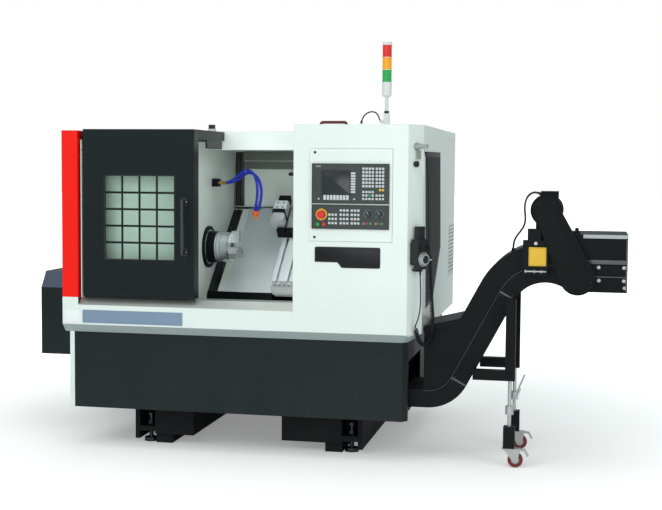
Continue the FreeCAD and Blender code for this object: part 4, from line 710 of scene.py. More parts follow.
GREY_PLASTIC = Finish("grey_plastic", colour("303938"), 0.44, 900.0, 0.08, 0.08)
KEY = Finish("key_plastic", colour("7d8488"), 0.40, 1200.0, 0.05, 0.08)
KEY_PALE = Finish("pale_key_plastic", colour("c6cbcc"), 0.40, 1200.0, 0.05, 0.08)
SCREEN = Finish("screen", colour("20262b"), 0.12, 1500.0, 0.0, 0.10)
RUBBER = Finish("black_rubber", colour("131415"), 0.58, 700.0, 0.15, 0.15)
TREAD = Finish("maroon_tread", colour("6e1f20"), 0.50, 500.0, 0.15, 0.35)
BLUE_HOSE = Finish("blue_hose", colour("142fb8"), 0.14, 700.0, 0.04, 0.10)
ORANGE = Finish("orange_nozzle", colour("ee6a1b"), 0.30, 700.0, 0.04, 0.10)
BUTTON_RED = Finish("button_red", colour("d41a16"), 0.28, 900.0, 0.03, 0.08)
BUTTON_GREEN = Finish("button_green", colour("1f9a47"), 0.28, 900.0, 0.03, 0.08)
YELLOW = Finish("yellow_plate", colour("e0b32a"), 0.40, 900.0, 0.03, 0.12)
MAROON = Finish("maroon_grip", colour("5c1a1c"), 0.40, 700.0, 0.05, 0.10)
MAST = Finish("mast_plastic", colour("d8dcdb"), 0.38, 900.0, 0.05, 0.08)
PANE = Clear("window_pane", colour("c4ecd6"), 0.02)
# Lighter blue-grey on the motor cover's sloping top face: painted light, where that face catches the light from above.
COVER_TOP_LIGHT = Paint("cover_top_painted_light", colour("4b5567"), 0.40, 900.0, 0.07, 0.12, coat=0.05, wear=0.2,
                  worn=colour("646a72"), dust=0.0)
HANDLE = Paint("handle_gloss", colour("0c0d0e"), 0.16, 900.0, 0.02, 0.06, coat=0.6, wear=0.1, dust=0.0, shine=0.5)
BANNER = Paint("banner_plate", colour("7c92aa"), 0.34, 900.0, 0.02, 0.10, coat=0.2, wear=0.05, dust=0.0)
BADGE = Paint("badge_plate", colour("eef2f4"), 0.30, 900.0, 0.02, 0.06, coat=0.3, wear=0.05, dust=0.0)
GLOSS_BLACK = Paint("gloss_black", colour("08090b"), 0.30, 900.0, 0.02, 0.10, coat=0.1, wear=0.1, dust=0.0)
NAME_FACE = Paint("name_plate_face", colour("0a0c13"), 0.30, 900.0, 0.03, 0.25, coat=0.08, wear=0.1, dust=0.0)
# Grey-teal backing of the vents and slots: painted shade of the recesses behind the slats and in the openings.
VENT_SHADE = Paint("vent_painted_shade", colour("8fa09b"), 0.6, 900.0, 0.05, 0.2, coat=0.0, wear=0.1, dust=0.0)
# Dark grey of the stepped duct under the roof: painted shade of the band that the roof beam shades.
DUCT_SHADE = Paint("duct_painted_shade", colour("6b7269"), 0.42, 600.0, 0.05, 0.2, coat=0.1, wear=0.2, dust=0.0)
# Mid grey on the black conveyor's seam edge, joints, ledge and lines: painted highlight along edges that catch the
# light.
EDGE_HIGHLIGHT = Paint("edge_painted_highlight", colour("55595c"), 0.38, 900.0, 0.05, 0.2, coat=0.2, wear=0.4, worn=colour("909395"),
                  dust=0.0)
EDGE_PALE = Paint("edge_pale", colour("aeb4b5"), 0.38, 900.0, 0.05, 0.2, coat=0.2, wear=0.3, dust=0.0)
DARK_SCREW = Metal("dark_screw", colour("3b3d40"), 0.36, depth=0.1, marks=0.05, stretch=(8.0, 8.0, 8.0))
KEY_GREEN = Finish("green_key", colour("2f9a63"), 0.40, 1200.0, 0.05, 0.08)
KEY_RED = Finish("red_key", colour("b23a2c"), 0.40, 1200.0, 0.05, 0.08)
LENS_RED = Lens("lens_red", colour("d8201a"), 0.22)
LENS_AMBER = Lens("lens_amber", colour("f0a012"), 0.22)
LENS_GREEN = Lens("lens_green", colour("12a04a"), 0.22)

NODE_FINISH = {name: finish for finish, names in (
    (IRON, "base_casting bed_castings coolant_block tool_post"),
    (SKIRT, "skirt_front motor_cover"),
    (WHITE, "casing_panels right_housing panel_frame cabinet_door"),
    (LINER, "spindle_wall rear_liner saddle"),
    (BLACK, "chip_chute conveyor_body conveyor_cover drive_guard gear_motor conveyor_legs"),
    (BLACK_PLASTIC, "pendant_holder pendant_body door_fittings feed_knob speed_knob pendant_knob_left "
                    "pendant_knob_right"),
    (COVER_STEEL, "way_cover_moving way_cover_middle cross_slide"),
    (GROUND, "chuck_jaw_1 chuck_jaw_2 chuck_jaw_3"),
    (DARK_STEEL, "levelling_screws spindle"),
    (TURNED, "chuck_body pendant_wheel"),
    (GREY_PLASTIC, "display_unit key_panel"),
    (BUTTON_RED, "estop_button stop_button"),
    (ZINC, "caster_front caster_rear"),
    (TREAD, "wheel_front wheel_rear"),
    (STAINLESS, "sill_rail"), (RED, "corner_post"), (CHARCOAL, "door_panel"), (PANE, "door_glass"),
    (ORANGE, "coolant_nozzle"), (MAST, "tower_mast"), (LENS_RED, "lens_red"), (LENS_AMBER, "lens_amber"),
    (LENS_GREEN, "lens_green"), (BUTTON_GREEN, "start_button"),
) for name in names.split()}
ANY = (-math.inf, math.inf)


@dataclass(frozen=True)
class Zone:
    """Part of a carried-over node, between limits in the machine's millimetres, with a finish of its own."""

    node: str
    finish: Finish
    x: tuple[float, float] = ANY
    y: tuple[float, float] = ANY
    z: tuple[float, float] = ANY


# Front lips of the way cover leaves, which are made black: painted shade under the leaf ends.
COVER_FOOT_SHADE = {"y": (570, 600), "z": (700, 775)}
ZONES = (
    Zone("coolant_block", BRASS, x=(637, math.inf)),
    Zone("pendant_holder", ZINC, z=(1558, math.inf)),
    Zone("pendant_holder", STAINLESS, z=(1509, 1557.9)),
    Zone("tool_post", COVER_STEEL, y=(792.4, 851.8), z=(1190, math.inf)),
    Zone("tool_post", GROUND, y=(724, 764.5), z=(1145, 1205)),
    # The bevel sheets of the casing and the right housing get the painted shade.
    Zone("casing_panels", BEVEL_SHADE, z=(603, 640)),
    Zone("casing_panels", SKIRT, x=(1790, 1801), z=(-math.inf, 603)),
    # The motor cover's sloping top face gets the painted light.
    Zone("motor_cover", COVER_TOP_LIGHT, y=(455, 505), z=(806, 860)),
    Zone("door_fittings", MAST, (660, 705), (370, 430), (1652, 1668)),
    Zone("door_fittings", HANDLE, (645, 680), (-52, -28), (1000, 1320)),
    Zone("right_housing", BEVEL_SHADE, z=(603, 640)),
    # Black on the leaves' front lips is painted shade.
    Zone("rear_liner", BLACK, **COVER_FOOT_SHADE),
    Zone("way_cover_middle", BLACK, **COVER_FOOT_SHADE),
    Zone("way_cover_moving", BLACK, **COVER_FOOT_SHADE),
    Zone("spindle", BLACK, x=(599, math.inf)),
    Zone("conveyor_legs", ZINC, z=(205, 400)),
)


def dress_nodes() -> None:
    """Gives each carried-over node its finish, then the zones theirs by the centre of each face."""
    for name, finish in NODE_FINISH.items():
        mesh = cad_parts[name].data
        mesh.materials.clear()
        mesh.materials.append(finish.material())
    for zone in ZONES:
        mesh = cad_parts[zone.node].data
        centres = np.empty(len(mesh.polygons) * 3)
        mesh.polygons.foreach_get("center", centres)
        machine = (centres.reshape(-1, 3) - DATUM.at(0, 0, 0)) / MM
        index = np.empty(len(mesh.polygons), np.int32)
        mesh.polygons.foreach_get("material_index", index)
        low, high = np.transpose((zone.x, zone.y, zone.z))
        index[np.all((machine > low) & (machine < high), axis=1)] = len(mesh.materials)
        mesh.materials.append(zone.finish.material())
        mesh.polygons.foreach_set("material_index", index)


# ---- cords --------------------------------------------------------------------------------------
FOLD_NORMAL = np.array([0.764, -0.645, 0.0])

HOSE_FRONT = ((680, 681, 1379), (712, 682, 1388), (741, 684, 1410), (766, 686, 1438), (797, 689, 1452),
              (827, 693, 1439), (845, 697, 1409), (853, 700, 1371), (855, 702, 1328), (851, 702, 1284),
              (845, 700, 1244), (840, 698, 1214))
HOSE_BACK = ((680, 711, 1379), (713, 713, 1385), (744, 716, 1401), (772, 719, 1425), (804, 722, 1437),
             (836, 725, 1424), (858, 727, 1394), (869, 728, 1355), (871, 727, 1313), (866, 724, 1272),
             (858, 720, 1238), (850, 716, 1214))
TOWER_CABLE = ((1530, 200, 1692), (1534, 200, 1716), (1550, 200, 1738), (1575, 200, 1751), (1602, 200, 1748),
               (1618, 200, 1728), (1622, 200, 1711), (1628, 200, 1702))
MOTOR_CABLE = ((2431, 250, 1344), (2408, 249, 1355), (2382, 246, 1350), (2362, 242, 1329), (2352, 238, 1298),
               (2352, 234, 1262), (2357, 230, 1226), (2353, 226, 1190), (2334, 222, 1160), (2312, 219, 1132),
               (2301, 217, 1102), (2300, 216, 1076))
LEAD_DOWN = ((1861.7, 20.9, 975), (1863, 20, 925), (1866, 18, 875), (1867, 15, 825), (1865, 13, 777),
             (1857, 15, 733), (1841, 22, 694))
COIL = ((1841, 22, 694), (1846, 32, 655), (1856, 50, 616), (1877, 72, 593), (1898, 90, 603),
        (1911, 100, 640), (1916, 105, 700), (1913, 106, 760), (1908, 103, 820), (1906, 99, 880),
        (1902, 97, 940), (1900, 93, 1000), (1897, 92, 1058))
LEAD_UP = ((1897, 92, 1058), (1895, 88, 1112), (1893, 84, 1168), (1892, 78, 1226), (1892, 71, 1284),
           (1892, 62, 1342), (1891, 51, 1398), (1889, 36, 1452), (1886, 18, 1502), (1883, 5, 1548))


@dataclass
class SegmentedHose:
    """Coolant hose made of ball segments that snap into each other."""

    name: str
    route: Sequence[Point]
    pieces: Sequence[bpy.types.Object] = ()
    radius: float = 8.0
    pitch: float = 13.0
    bulge: float = 1.15
    waist: float = 0.5

    def build(self) -> None:
        """Tube of radius r*(bulge - waist*(1 - |sin(pi s/pitch)|^0.5)), s along its line."""
        path = route_points(self.route, self.pitch / 8)
        run = np.arange(len(path)) / 8
        swell = np.sqrt(np.abs(np.sin(math.pi * run)))
        hose = tube(path, self.radius * (self.bulge - self.waist * (1 - swell)), BACK, 14).piece(
            self.name + "_line", BLUE_HOSE, sharp=60)
        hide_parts(self.name)
        end = axes_along(path[-1] - path[-6])
        collar = turned([(8.5, -9), (10.2, -8), (10.2, 2), (8.0, 4), (0.05, 4)], path[-1], end, 28)
        ferrule = collar.piece(self.name + "_ferrule", ORANGE)


@dataclass
class PlainCable:
    """Round cable on one smooth spline."""

    name: str
    route: Sequence[Point]
    radius: float

    def build(self) -> None:
        """Bevelled spline, dressed as cable sheath."""
        data = route_curve(self.name, self.route)
        data.bevel_depth = self.radius * MM
        data.bevel_resolution = 4
        data.use_fill_caps = True
        data.materials.append(RUBBER.material())
        cable = linked(self.name + "_run", data)
        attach(cable, "machine")
        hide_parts(self.name)
        path = route_points(self.route, 2.0)


@dataclass
class PendantCord:
    """The pendant's lead: straight, then curly round the fold, then straight to its plug."""

    wire: float = 3.2
    coil: float = 8.6
    pitch: float = 9.4
    per_turn: int = 12
    ramp: float = 24.0

    def build(self) -> None:
        """Helix centre + R*(side cos p + lift sin p), where R and the rate of p are eased in and out."""
        down = route_points(LEAD_DOWN, 5.0)
        fine = route_points(COIL, self.pitch / self.per_turn)
        up = route_points(LEAD_UP, 5.0)
        middle = slice(len(down) - 1, len(down) - 1 + len(fine))
        line = np.concatenate([down[:-1], fine, up[1:]])
        side, lift = across(line, FOLD_NORMAL)
        run = np.arange(len(fine)) * self.pitch / self.per_turn
        ease = np.clip(np.minimum(run, run[-1] - run) / self.ramp, 0, 1)
        ease = ease * ease * (3 - 2 * ease)
        turned_by = np.cumsum(ease) / self.per_turn
        phase = np.zeros(len(line))
        phase[middle] = turned_by / turned_by[-1] * round(turned_by[-1]) * 2 * math.pi
        throw = np.zeros(len(line))
        throw[middle] = self.coil * ease
        out = side * np.cos(phase)[:, None] + lift * np.sin(phase)[:, None]
        path = line + out * throw[:, None] * MM
        cord = tube(path, self.wire, out, 7).piece("pendant_cord", GLOSS_BLACK, sharp=80)
        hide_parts("pendant_lead", "pendant_coil")


def relief(name: str, place: Array, direction: Point, foot: float, tip: float, length: float) -> None:
    """Tapered ribbed sleeve where a cord leaves its housing.

    Args:
        name: Piece name.
        place: Where the cord leaves, in scene metres.
        direction: Way the cord goes.
        foot, tip: Radii at the housing and at the end.
        length: Length of the sleeve.
    """
    steps = np.linspace(0, 1, 17)
    ribs = 0.10 * (np.arange(17) % 4 < 2)
    radius = (foot + (tip - foot) * steps) * (1 - ribs)
    profile = np.column_stack([radius, steps * length])
    turned(profile.tolist(), place, axes_along(direction), 20).piece(name, RUBBER, sharp=50)


# ---- trims --------------------------------------------------------------------------------------
FRONT, SIDE, REAR, TOP = (way.axes for way in Way)


def head_screw(centre: Array, axes: Axes, radius: float = 5.0, depth: float = 2.6) -> Shape:
    """Round head with a sunk socket: a profile that runs over the dome and down into the hole."""
    r, d = radius, depth
    profile = [(r, -0.4), (r, d * 0.45), (r * 0.82, d * 0.85), (r * 0.5, d), (r * 0.42, d), (r * 0.40, d * 0.25),
               (0.05, d * 0.25)]
    return turned(profile, centre, axes, 14)


def hex_head(centre: Array, axes: Axes, across: float = 13.0, depth: float = 6.0) -> Shape:
    """Hexagon head on its washer."""
    angles = np.arange(6) * math.pi / 3
    outline = np.stack([np.cos(angles), np.sin(angles)], axis=-1) * across / math.sqrt(3)
    washer = turned([(across * 0.85, SUNK), (across * 0.85, 1.4), (0.05, 1.4)], centre, axes, 20)
    return Shape.joined([washer, slab(outline, depth, 0.8, centre, axes, 1.2)])


def heads(name: str, finish: Finish, places: Sequence[Array], axes: Axes, radius: float = 5.0, depth: float = 2.6,
          body: str = "machine") -> None:
    """Makes one piece of round screw heads, one at each place.

    Args:
        name: Piece name.
        finish: Finish that dresses it.
        places: Centres of the heads on their face, in scene metres.
        axes: The face's directions.
        radius, depth: Size of each head.
        body: Body that it moves with.
    """
    Shape.joined([head_screw(place, axes, radius, depth) for place in places]).piece(name, finish, body)


def spoke(axes: Axes, angle: float) -> Axes:
    """The face's directions turned about its outward one, so that right points along a spoke."""
    right = math.cos(angle) * axes[0] + math.sin(angle) * axes[1]
    return right, np.cross(axes[2], right), axes[2]


def ring(inner: float, outer: float, low: float, high: float, centre: Array, axes: Axes, sides: int = 48) -> Shape:
    """Flat ring with eased edges: a closed profile turned round the axis."""
    e = min(0.4, (outer - inner) / 4)
    profile = [(inner, low), (outer, low), (outer, high - e), (outer - e, high), (inner + e, high), (inner, high - e),
               (inner, low)]
    return turned(profile, centre, axes, sides, caps=False)


def frame_band(x0: float, x1: float, z0: float, z1: float, band: float, depth: float, centre: Array, axes: Axes,
               radius: float = 6.0) -> Shape:
    """Rectangular band: rings run up its outer wall, over its face and down its inner wall.

    Args:
        x0, x1, z0, z1: Outer span in the face's own millimetres.
        band: Width of the band.
        depth: Height of its face.
        centre: Scene place of the face's origin.
        axes: The face's directions.
        radius: Outer corner radius.

    Returns:
        The closed band.
    """
    middle = np.array([(x0 + x1) / 2, (z0 + z1) / 2])
    levels = ((0.0, SUNK), (0.0, depth - 0.5), (0.5, depth), (band - 0.5, depth), (band, depth - 0.5), (band, SUNK),
              (0.0, SUNK))
    rings = np.stack([np.column_stack([
        rounded_rectangle(x1 - x0 - 2 * i, z1 - z0 - 2 * i, max(0.3, radius - i)) + middle,
        np.full(20, h)]) for i, h in levels])
    return Shape.skin(rings, centre, axes, caps=False)


def face_plate(x0: float, x1: float, z0: float, z1: float, depth: float, centre: Array, axes: Axes,
               radius: float = 2.0, edge: float = 0.5, base: float = SUNK) -> Shape:
    """Rounded plate in a face's own millimetres, see slab."""
    middle = placed(np.array([(x0 + x1) / 2, (z0 + z1) / 2, 0.0]), centre, axes)
    return slab(rounded_rectangle(x1 - x0, z1 - z0, radius), depth, edge, middle, axes, base)


@dataclass
class CasingTrim:
    """Blank name plates, accent panel, vents, roof grip and screws of the sheet casing."""

    side: float = 1864.0
    banner: Span = (110.0, 651.0, 657.0, 725.0)
    badge: Span = (11.0, 95.0, 655.0, 722.0)
    louvre: Span = (1236.0, 1520.0, 836.0, 1142.0)
    cabinet_vent: Span = (-1680.0, -1300.0, 840.0, 980.0)
    grip: tuple[float, float] = (1322.0, 1453.0)
    roof_z: float = 1680.0

    def plates(self) -> None:
        """Bare banner, badge and stepped name plate on the front."""
        origin = DATUM.at(0, 0, 0)
        face_plate(*self.banner, 1.4, origin, FRONT, 3.0).piece("front_banner", BANNER)
        face_plate(*self.badge, 1.2, origin, FRONT, 3.0).piece("front_badge", BADGE)
        outline = np.array([(1338, 1001), (1452, 1001), (1474, 974), (1661, 974), (1667, 980), (1667, 1071),
                            (1661, 1077), (1344, 1077), (1338, 1071)], float)
        slab(outline, 3.0, 0.8, origin, FRONT, SUNK).piece("name_plate", GLOSS_BLACK)
        slab(inset(outline, 5.0), 3.25, 0.1, origin, FRONT).piece("name_plate_face", NAME_FACE)

    def accent(self) -> None:
        """Slanting dark panel on the right side, with a perforated field inside its border."""
        origin = DATUM.at(self.side, 0, 0)
        outline = np.array([(229, 759), (515, 787), (834, 1038), (771, 1555), (147, 1551)], float)
        slab(outline, 2.2, 0.8, origin, SIDE, SUNK).piece("side_accent", SLATE)
        slab(inset(outline, 26.0), 2.5, 0.1, origin, SIDE).piece("side_accent_face", MESHED)

    def vent(self, name: str, span: Span, origin: Array, axes: Axes, slats: int, body: str = "machine") -> None:
        """Louvre: a framed back in painted shade with slanting slats. Each slat is a four-sided prism.

        Args:
            name: Start of the pieces' names.
            span: Outer span in the face's own millimetres.
            origin: Scene place of the face's origin.
            axes: The face's directions.
            slats: Number of slats.
            body: Body that it moves with.
        """
        y0, y1, z0, z1 = span
        frame_band(*span, 9.0, 3.0, origin, axes, 4.0).piece(name + "_frame", WHITE, body)
        face_plate(y0 + 8, y1 - 8, z0 + 8, z1 - 8, 0.8, origin, axes, 1.0, 0.1).piece(name + "_back", VENT_SHADE, body)
        pitch = (z1 - z0 - 20) / slats
        section = np.array([(-0.42, 0.4), (-0.42, 1.0), (0.34, 5.2), (0.42, 4.6)]) * [pitch, 1.0]
        ends = (y0 + 9, y1 - 9)
        rings = np.stack([np.column_stack([np.full(4, y), section[::-1]]) for y in ends])
        offsets = np.outer((z0 + 10 + pitch * (np.arange(slats) + 0.5)) * MM, axes[1])
        Shape.skin(rings, origin, axes).repeated(offsets).piece(name + "_slats", WHITE, body)

    def roof(self) -> None:
        """Maroon lifting grip with two black feet on the roof, and the latch beside it."""
        x0, x1 = self.grip
        y, z = 200.0, self.roof_z
        bend = np.linspace(0, math.pi / 2, 7)
        left = np.column_stack([x0 + 12 - 12 * np.cos(bend), np.full(7, y), z + 8 + 9 * np.sin(bend)])
        right = left[::-1] * [-1, 1, 1] + [x0 + x1, 0, 0]
        line = np.concatenate([[[x0, y, z - 0.3]], left, right, [[x1, y, z - 0.3]]])
        tube(DATUM.along(line), 7.5, BACK, 14).piece("roof_grip", MAROON, sharp=60)
        feet = [turned([(15, SUNK), (15, 2.5), (12, 5), (0.05, 5)], DATUM.at(x, y, z), TOP, 24) for x in (x0, x1)]
        Shape.joined(feet).piece("roof_grip_feet", BLACK_PLASTIC)
        bar = face_plate(x0 - 45, x0 - 8, y - 10, y + 10, 5.0, DATUM.at(0, 0, z), TOP, 3.0)
        bar.piece("roof_latch", BLACK_PLASTIC)

    def screws(self) -> None:
        """Sheet screws along the skirt, the left cover, the side and the back."""
        heads("skirt_screws", DARK_SCREW, DATUM.grid((110, 530, 950, 1370, 1740), (39,), (590,)), FRONT, SHEET_SCREW)
        heads("side_screws", ZINC, DATUM.grid((self.side,), (1180, 1500), (700, 1190, 1640)), SIDE, SHEET_SCREW)
        heads("rear_screws", ZINC, DATUM.grid((60, 620, 1140, 1830), (1537,), (680, 1150, 1620)), REAR, SHEET_SCREW)
        heads("cover_screws", DARK_SCREW, DATUM.grid((-300, -40), (450,), (440, 765)), FRONT, SHEET_SCREW)

    def cover_vent(self) -> None:
        """Pressed slots in the back of the motor cover."""
        back = DATUM.at(0, 0, 0) * [1, 0, 1] + [0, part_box("motor_cover")[1][1], 0]
        slot = face_plate(70, 280, 500, 508, 1.6, back, REAR, 3.9, 0.7)
        # The slots take the vents' painted shade.
        slot.repeated(np.outer(np.arange(9) * 22 * MM, UP)).piece("cover_slots", VENT_SHADE)

    def build(self) -> None:
        """Makes every piece of the trim."""
        self.plates()
        self.accent()
        self.vent("side_louvre", self.louvre, DATUM.at(self.side, 0, 0), SIDE, 13)
        self.vent("cabinet_vent", self.cabinet_vent, DATUM.at(0, 1563.3, 0), REAR, 7, "cabinet")
        self.roof()
        self.screws()
        self.cover_vent()
        knuckle = turned([(0.05, 0), (7, 0), (7, 70), (0.05, 70)], DATUM.at(1806, 1547, 0), TOP, 16)
        knuckle.repeated(np.outer((860, 1400), UP) * MM).piece("cabinet_hinges", DARK_STEEL)


@dataclass
class DoorTrim:
    """Window gasket, bar caps and screws of the sliding door."""

    window: Span = (232.0, 605.0, 991.0, 1418.0)
    panes: tuple[int, int] = (4, 5)
    cap: float = 11.0
    face: float = 7.0
    bar_y: float = 11.0
    gasket: float = 6.0

    def bars(self) -> None:
        """Flat caps on the front of the window's grid bars."""
        x0, x1, z0, z1 = self.window
        origin, half = DATUM.at(0, self.bar_y, 0), self.cap / 2
        across, up = (np.linspace(low, high, count + 1)[1:-1]
                      for low, high, count in ((x0, x1, self.panes[0]), (z0, z1, self.panes[1])))
        caps = [face_plate(x - half, x + half, z0, z1, 1.6, origin, FRONT, 0.6, 0.5) for x in across]
        caps += [face_plate(x0, x1, z - half, z + half, 1.5, origin, FRONT, 0.6, 0.5) for z in up]
        Shape.joined(caps).piece("window_bar_caps", CHARCOAL, "door")

    def build(self) -> None:
        """Makes the pieces that ride on the door."""
        x0, x1, z0, z1 = self.window
        out = self.gasket
        gasket = frame_band(x0 - out, x1 + out, z0 - out, z1 + out, out + 1, 1.8, DATUM.at(0, self.face, 0), FRONT, 9.0)
        gasket.piece("window_gasket", RUBBER, "door")
        self.bars()
        heads("door_screws", DARK_SCREW, DATUM.grid((130, 694), (self.face,), (812, 1224, 1636)), FRONT, 4.0,
              body="door")
        heads("handle_screws", ZINC, DATUM.grid((651, 673), (-3,), (1034, 1289)), FRONT, 3.2, 2.0, "door")


@dataclass(frozen=True)
class KeyBlock:
    """Block of equal keys: first centre, columns and rows, pitch and key size."""

    x: float
    z: float
    columns: int = 1
    rows: int = 1
    dx: float = 0.0
    dz: float = 0.0
    width: float = 11.0
    height: float = 11.0

    def shape(self, depth: float, origin: Array) -> Shape:
        """All keys of the block on the panel's face."""
        columns, rows = np.meshgrid(np.arange(self.columns), np.arange(self.rows))
        half_x, half_z = self.width / 2, self.height / 2
        key = face_plate(self.x - half_x, self.x + half_x, self.z - half_z, self.z + half_z, depth, origin, FRONT,
                         1.8, 0.7)
        return key.repeated((np.outer(columns.ravel() * self.dx, RIGHT) - np.outer(rows.ravel() * self.dz, UP)) * MM)


@dataclass
class PanelTrim:
    """Screen, keys, rings and locks of the operator panel."""

    face: float = -13.0
    depth: float = 2.4
    stop: tuple[float, float] = (1373.0, 1237.0)
    dials: tuple[tuple[float, str], ...] = ((1606.0, "feed"), (1661.0, "speed"))
    dial_z: float = 1242.0
    dial_front: float = -32.0
    pale: tuple[KeyBlock, ...] = (
        KeyBlock(1581.5, 1463.5, 4, 6, 15.6, 17.1, 11.5, 11.5), KeyBlock(1647.7, 1463.5, 3, 6, 15.5, 17.1, 11.5, 11.5),
        KeyBlock(1530.5, 1440.5, 1, 8, 0, 13.1, 23.0, 9.5), KeyBlock(1389.0, 1321.0, 8, 1, 16.2, 0, 12.5, 24.0),
        KeyBlock(1358.4, 1314.0, 2, 1, 178.0, 0, 8.0, 8.0), KeyBlock(1647.7, 1332.9, 3, 2, 15.5, 17.0, 10.5, 10.5),
        KeyBlock(1581.5, 1349.8, 4, 3, 15.6, 17.0, 10.5, 10.5), KeyBlock(1470.2, 1258.0, 3, 4, 16.4, 20.9, 11.5, 11.5),
        KeyBlock(1525.5, 1258.0, 3, 4, 16.2, 20.9, 11.5, 11.5), KeyBlock(1413.0, 1236.6, 3, 3, 16.4, 20.7, 11.5, 11.5))
    marks: tuple[tuple[str, Finish, tuple[tuple[float, float], ...]], ...] = (
        ("yellow", YELLOW, ((1664.4, 1359.9), (1678.6, 1359.9))),
        ("green", KEY_GREEN, ((1612.3, 1332.9), (1618.8, 1195.0), (1674.7, 1195.0))),
        ("red", KEY_RED, ((1602.7, 1195.0), (1658.6, 1195.0))),
        ("pale", KEY, ((1585.3, 1195.0), (1644.5, 1195.0))))

    @property
    def origin(self) -> Array:
        """Scene place of the origin of the panel's face."""
        return DATUM.at(0, self.face, 0)

    def add(self, name: str, finish: Finish, shapes: Sequence[Shape]) -> None:
        """Makes a piece that goes with the panel."""
        Shape.joined(shapes).piece(name, finish, "control_panel")

    def keys(self) -> None:
        """Pale key caps and the few coloured ones."""
        self.add("key_caps", KEY_PALE, [block.shape(self.depth, self.origin) for block in self.pale])
        for key, finish, places in self.marks:
            self.add("key_caps_" + key, finish, [KeyBlock(*place).shape(self.depth + 0.3, self.origin)
                                                 for place in places])

    def screen(self) -> None:
        """Sunk screen with its bezel, the memory card flap, a blank label and the fields' borders."""
        self.add("screen_bezel", BLACK_PLASTIC, [frame_band(1371, 1522, 1331, 1456, 9.0, 1.6, self.origin, FRONT, 4.0)])
        for name, finish, span, depth, radius, edge in (
                ("screen_face", SCREEN, (1378, 1515, 1338, 1449), 0.6, 2.0, 0.1),
                ("card_flap", GREY_PLASTIC, (1333, 1364, 1364, 1432), 1.8, 2.0, 0.5),
                ("blank_label", KEY, (1342, 1368, 1470, 1478), 0.5, 1.0, 0.1),
                ("panel_strip", STAINLESS, (1322, 1710, 1286, 1291), 1.2, 1.0, 0.3)):
            self.add(name, finish, [face_plate(*span, depth, self.origin, FRONT, radius, edge)])
        self.add("panel_borders", BLACK_PLASTIC, [frame_band(1326, 1706, z0, z1, 1.2, 0.5, self.origin, FRONT, 2.0)
                                                  for z0, z1 in ((1294, 1484), (1169, 1283))])

    def scales(self) -> None:
        """Rings round the emergency stop and the two dials, the scales' marks and the dials' caps."""
        x, z = self.stop
        self.add("stop_ring", YELLOW, [ring(20.6, 29.0, SUNK, 1.4, DATUM.at(x, self.face, z), FRONT)])
        centres = [DATUM.at(x, self.face, self.dial_z) for x, _ in self.dials]
        angles = np.radians(-50 + 280 * np.arange(15) / 14)
        self.add("dial_ticks", KEY_PALE, [face_plate(17.5, 22.0, -0.7, 0.7, 0.5, centre, spoke(FRONT, angle), 0.3, 0.1)
                                          for centre in centres for angle in angles])
        self.add("dial_rings", DARK_STEEL, [ring(14.6, 16.2, SUNK, 0.8, centre, FRONT) for centre in centres])
        for x, body in self.dials:
            front = DATUM.at(x, self.dial_front, self.dial_z)
            cap = turned([(14.0, 0.0), (14.0, 0.9), (12.6, 1.6), (0.05, 1.6)], front, FRONT, 40)
            cap.piece(body + "_dial_cap", GREY_PLASTIC, body)
            mark = face_plate(-0.9, 0.9, 2.0, 12.0, 2.1, front, FRONT, 0.4, 0.2)
            mark.piece(body + "_dial_mark", KEY_PALE, body)

    def locks(self) -> None:
        """Two quarter-turn locks."""
        profile = [(6.5, SUNK), (6.5, 1.6), (5.6, 2.4), (3.2, 2.4), (3.0, 1.0), (0.05, 1.0)]
        self.add("panel_locks", BLACK_PLASTIC, [turned(profile, DATUM.at(x, -4, z), FRONT, 24)
                                                for x, z in ((1337, 1542), (1336, 1124))])

    def build(self) -> None:
        """Makes all pieces of the operator panel."""
        self.keys()
        self.screen()
        self.scales()
        self.locks()


@dataclass
class PendantTrim:
    """Details of the hand-held pendant and its wall socket."""

    middle: float = 53.6
    face: float = 60.0
    wheel_z: float = 1024.0
    hub: float = 74.3
    knob_z: float = 1082.0
    knobs: tuple[tuple[float, str], ...] = ((33.6, "left"), (73.6, "right"))
    knob_radius: float = 9.0
    socket_z: float = 1574.0

    def build(self) -> None:
        """Makes the wheel's scale and hub, the knobs' marks, the screws and the socket's flange."""
        chamfer = Chamfer()
        axes = chamfer.axes
        wheel = chamfer.at(self.middle, self.wheel_z, self.face)
        ring(28.0, 36.0, SUNK, 0.9, wheel, axes).piece("wheel_scale", STAINLESS)
        ticks = [face_plate(30.0, 35.0, -0.3, 0.3, 1.05, wheel, spoke(axes, angle), 0.1, 0.05)
                 for angle in 2 * math.pi * np.arange(40) / 40]
        Shape.joined(ticks).piece("wheel_ticks", BLACK_PLASTIC)
        hub = turned([(19, SUNK), (19, 0.7), (17, 1.2), (0.05, 1.2)],
                     chamfer.at(self.middle, self.wheel_z, self.hub), axes, 36)
        hub.piece("wheel_hub", BLACK_PLASTIC, "jog_wheel")
        for t, side in self.knobs:
            mark = face_plate(-0.8, 0.8, 1.0, 8.0, self.knob_depth(side) + 0.3,
                              chamfer.at(t, self.knob_z, self.face), axes, 0.3, 0.1)
            mark.piece(f"jog_knob_{side}_mark", KEY_PALE, "jog_knob_" + side)
        heads("pendant_screws", DARK_SCREW, [chamfer.at(t, z, self.face) for t in (19, 88) for z in (1011, 1114)],
              axes, 2.6, 1.6)
        ring(16.1, 19.5, 0.0, 5.0, chamfer.at(self.middle, self.socket_z), axes).piece("socket_flange", ZINC)

    def knob_depth(self, side: str) -> float:
        """Height of a knob over the pendant's face, from its node's box.

        The box's outermost corner lies past the knob's face by the part that its round side adds.

        Args:
            side: "left" or "right".

        Returns:
            The height in millimetres.
        """
        low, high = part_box("pendant_knob_" + side)
        outward = Chamfer().axes[2]
        reach = (np.array([high[0], low[1], low[2]]) - Chamfer().at(self.middle, 0, self.face)) @ outward / MM
        return max(6.0, float(reach) - 4 * self.knob_radius * abs(outward[0] * outward[1]))


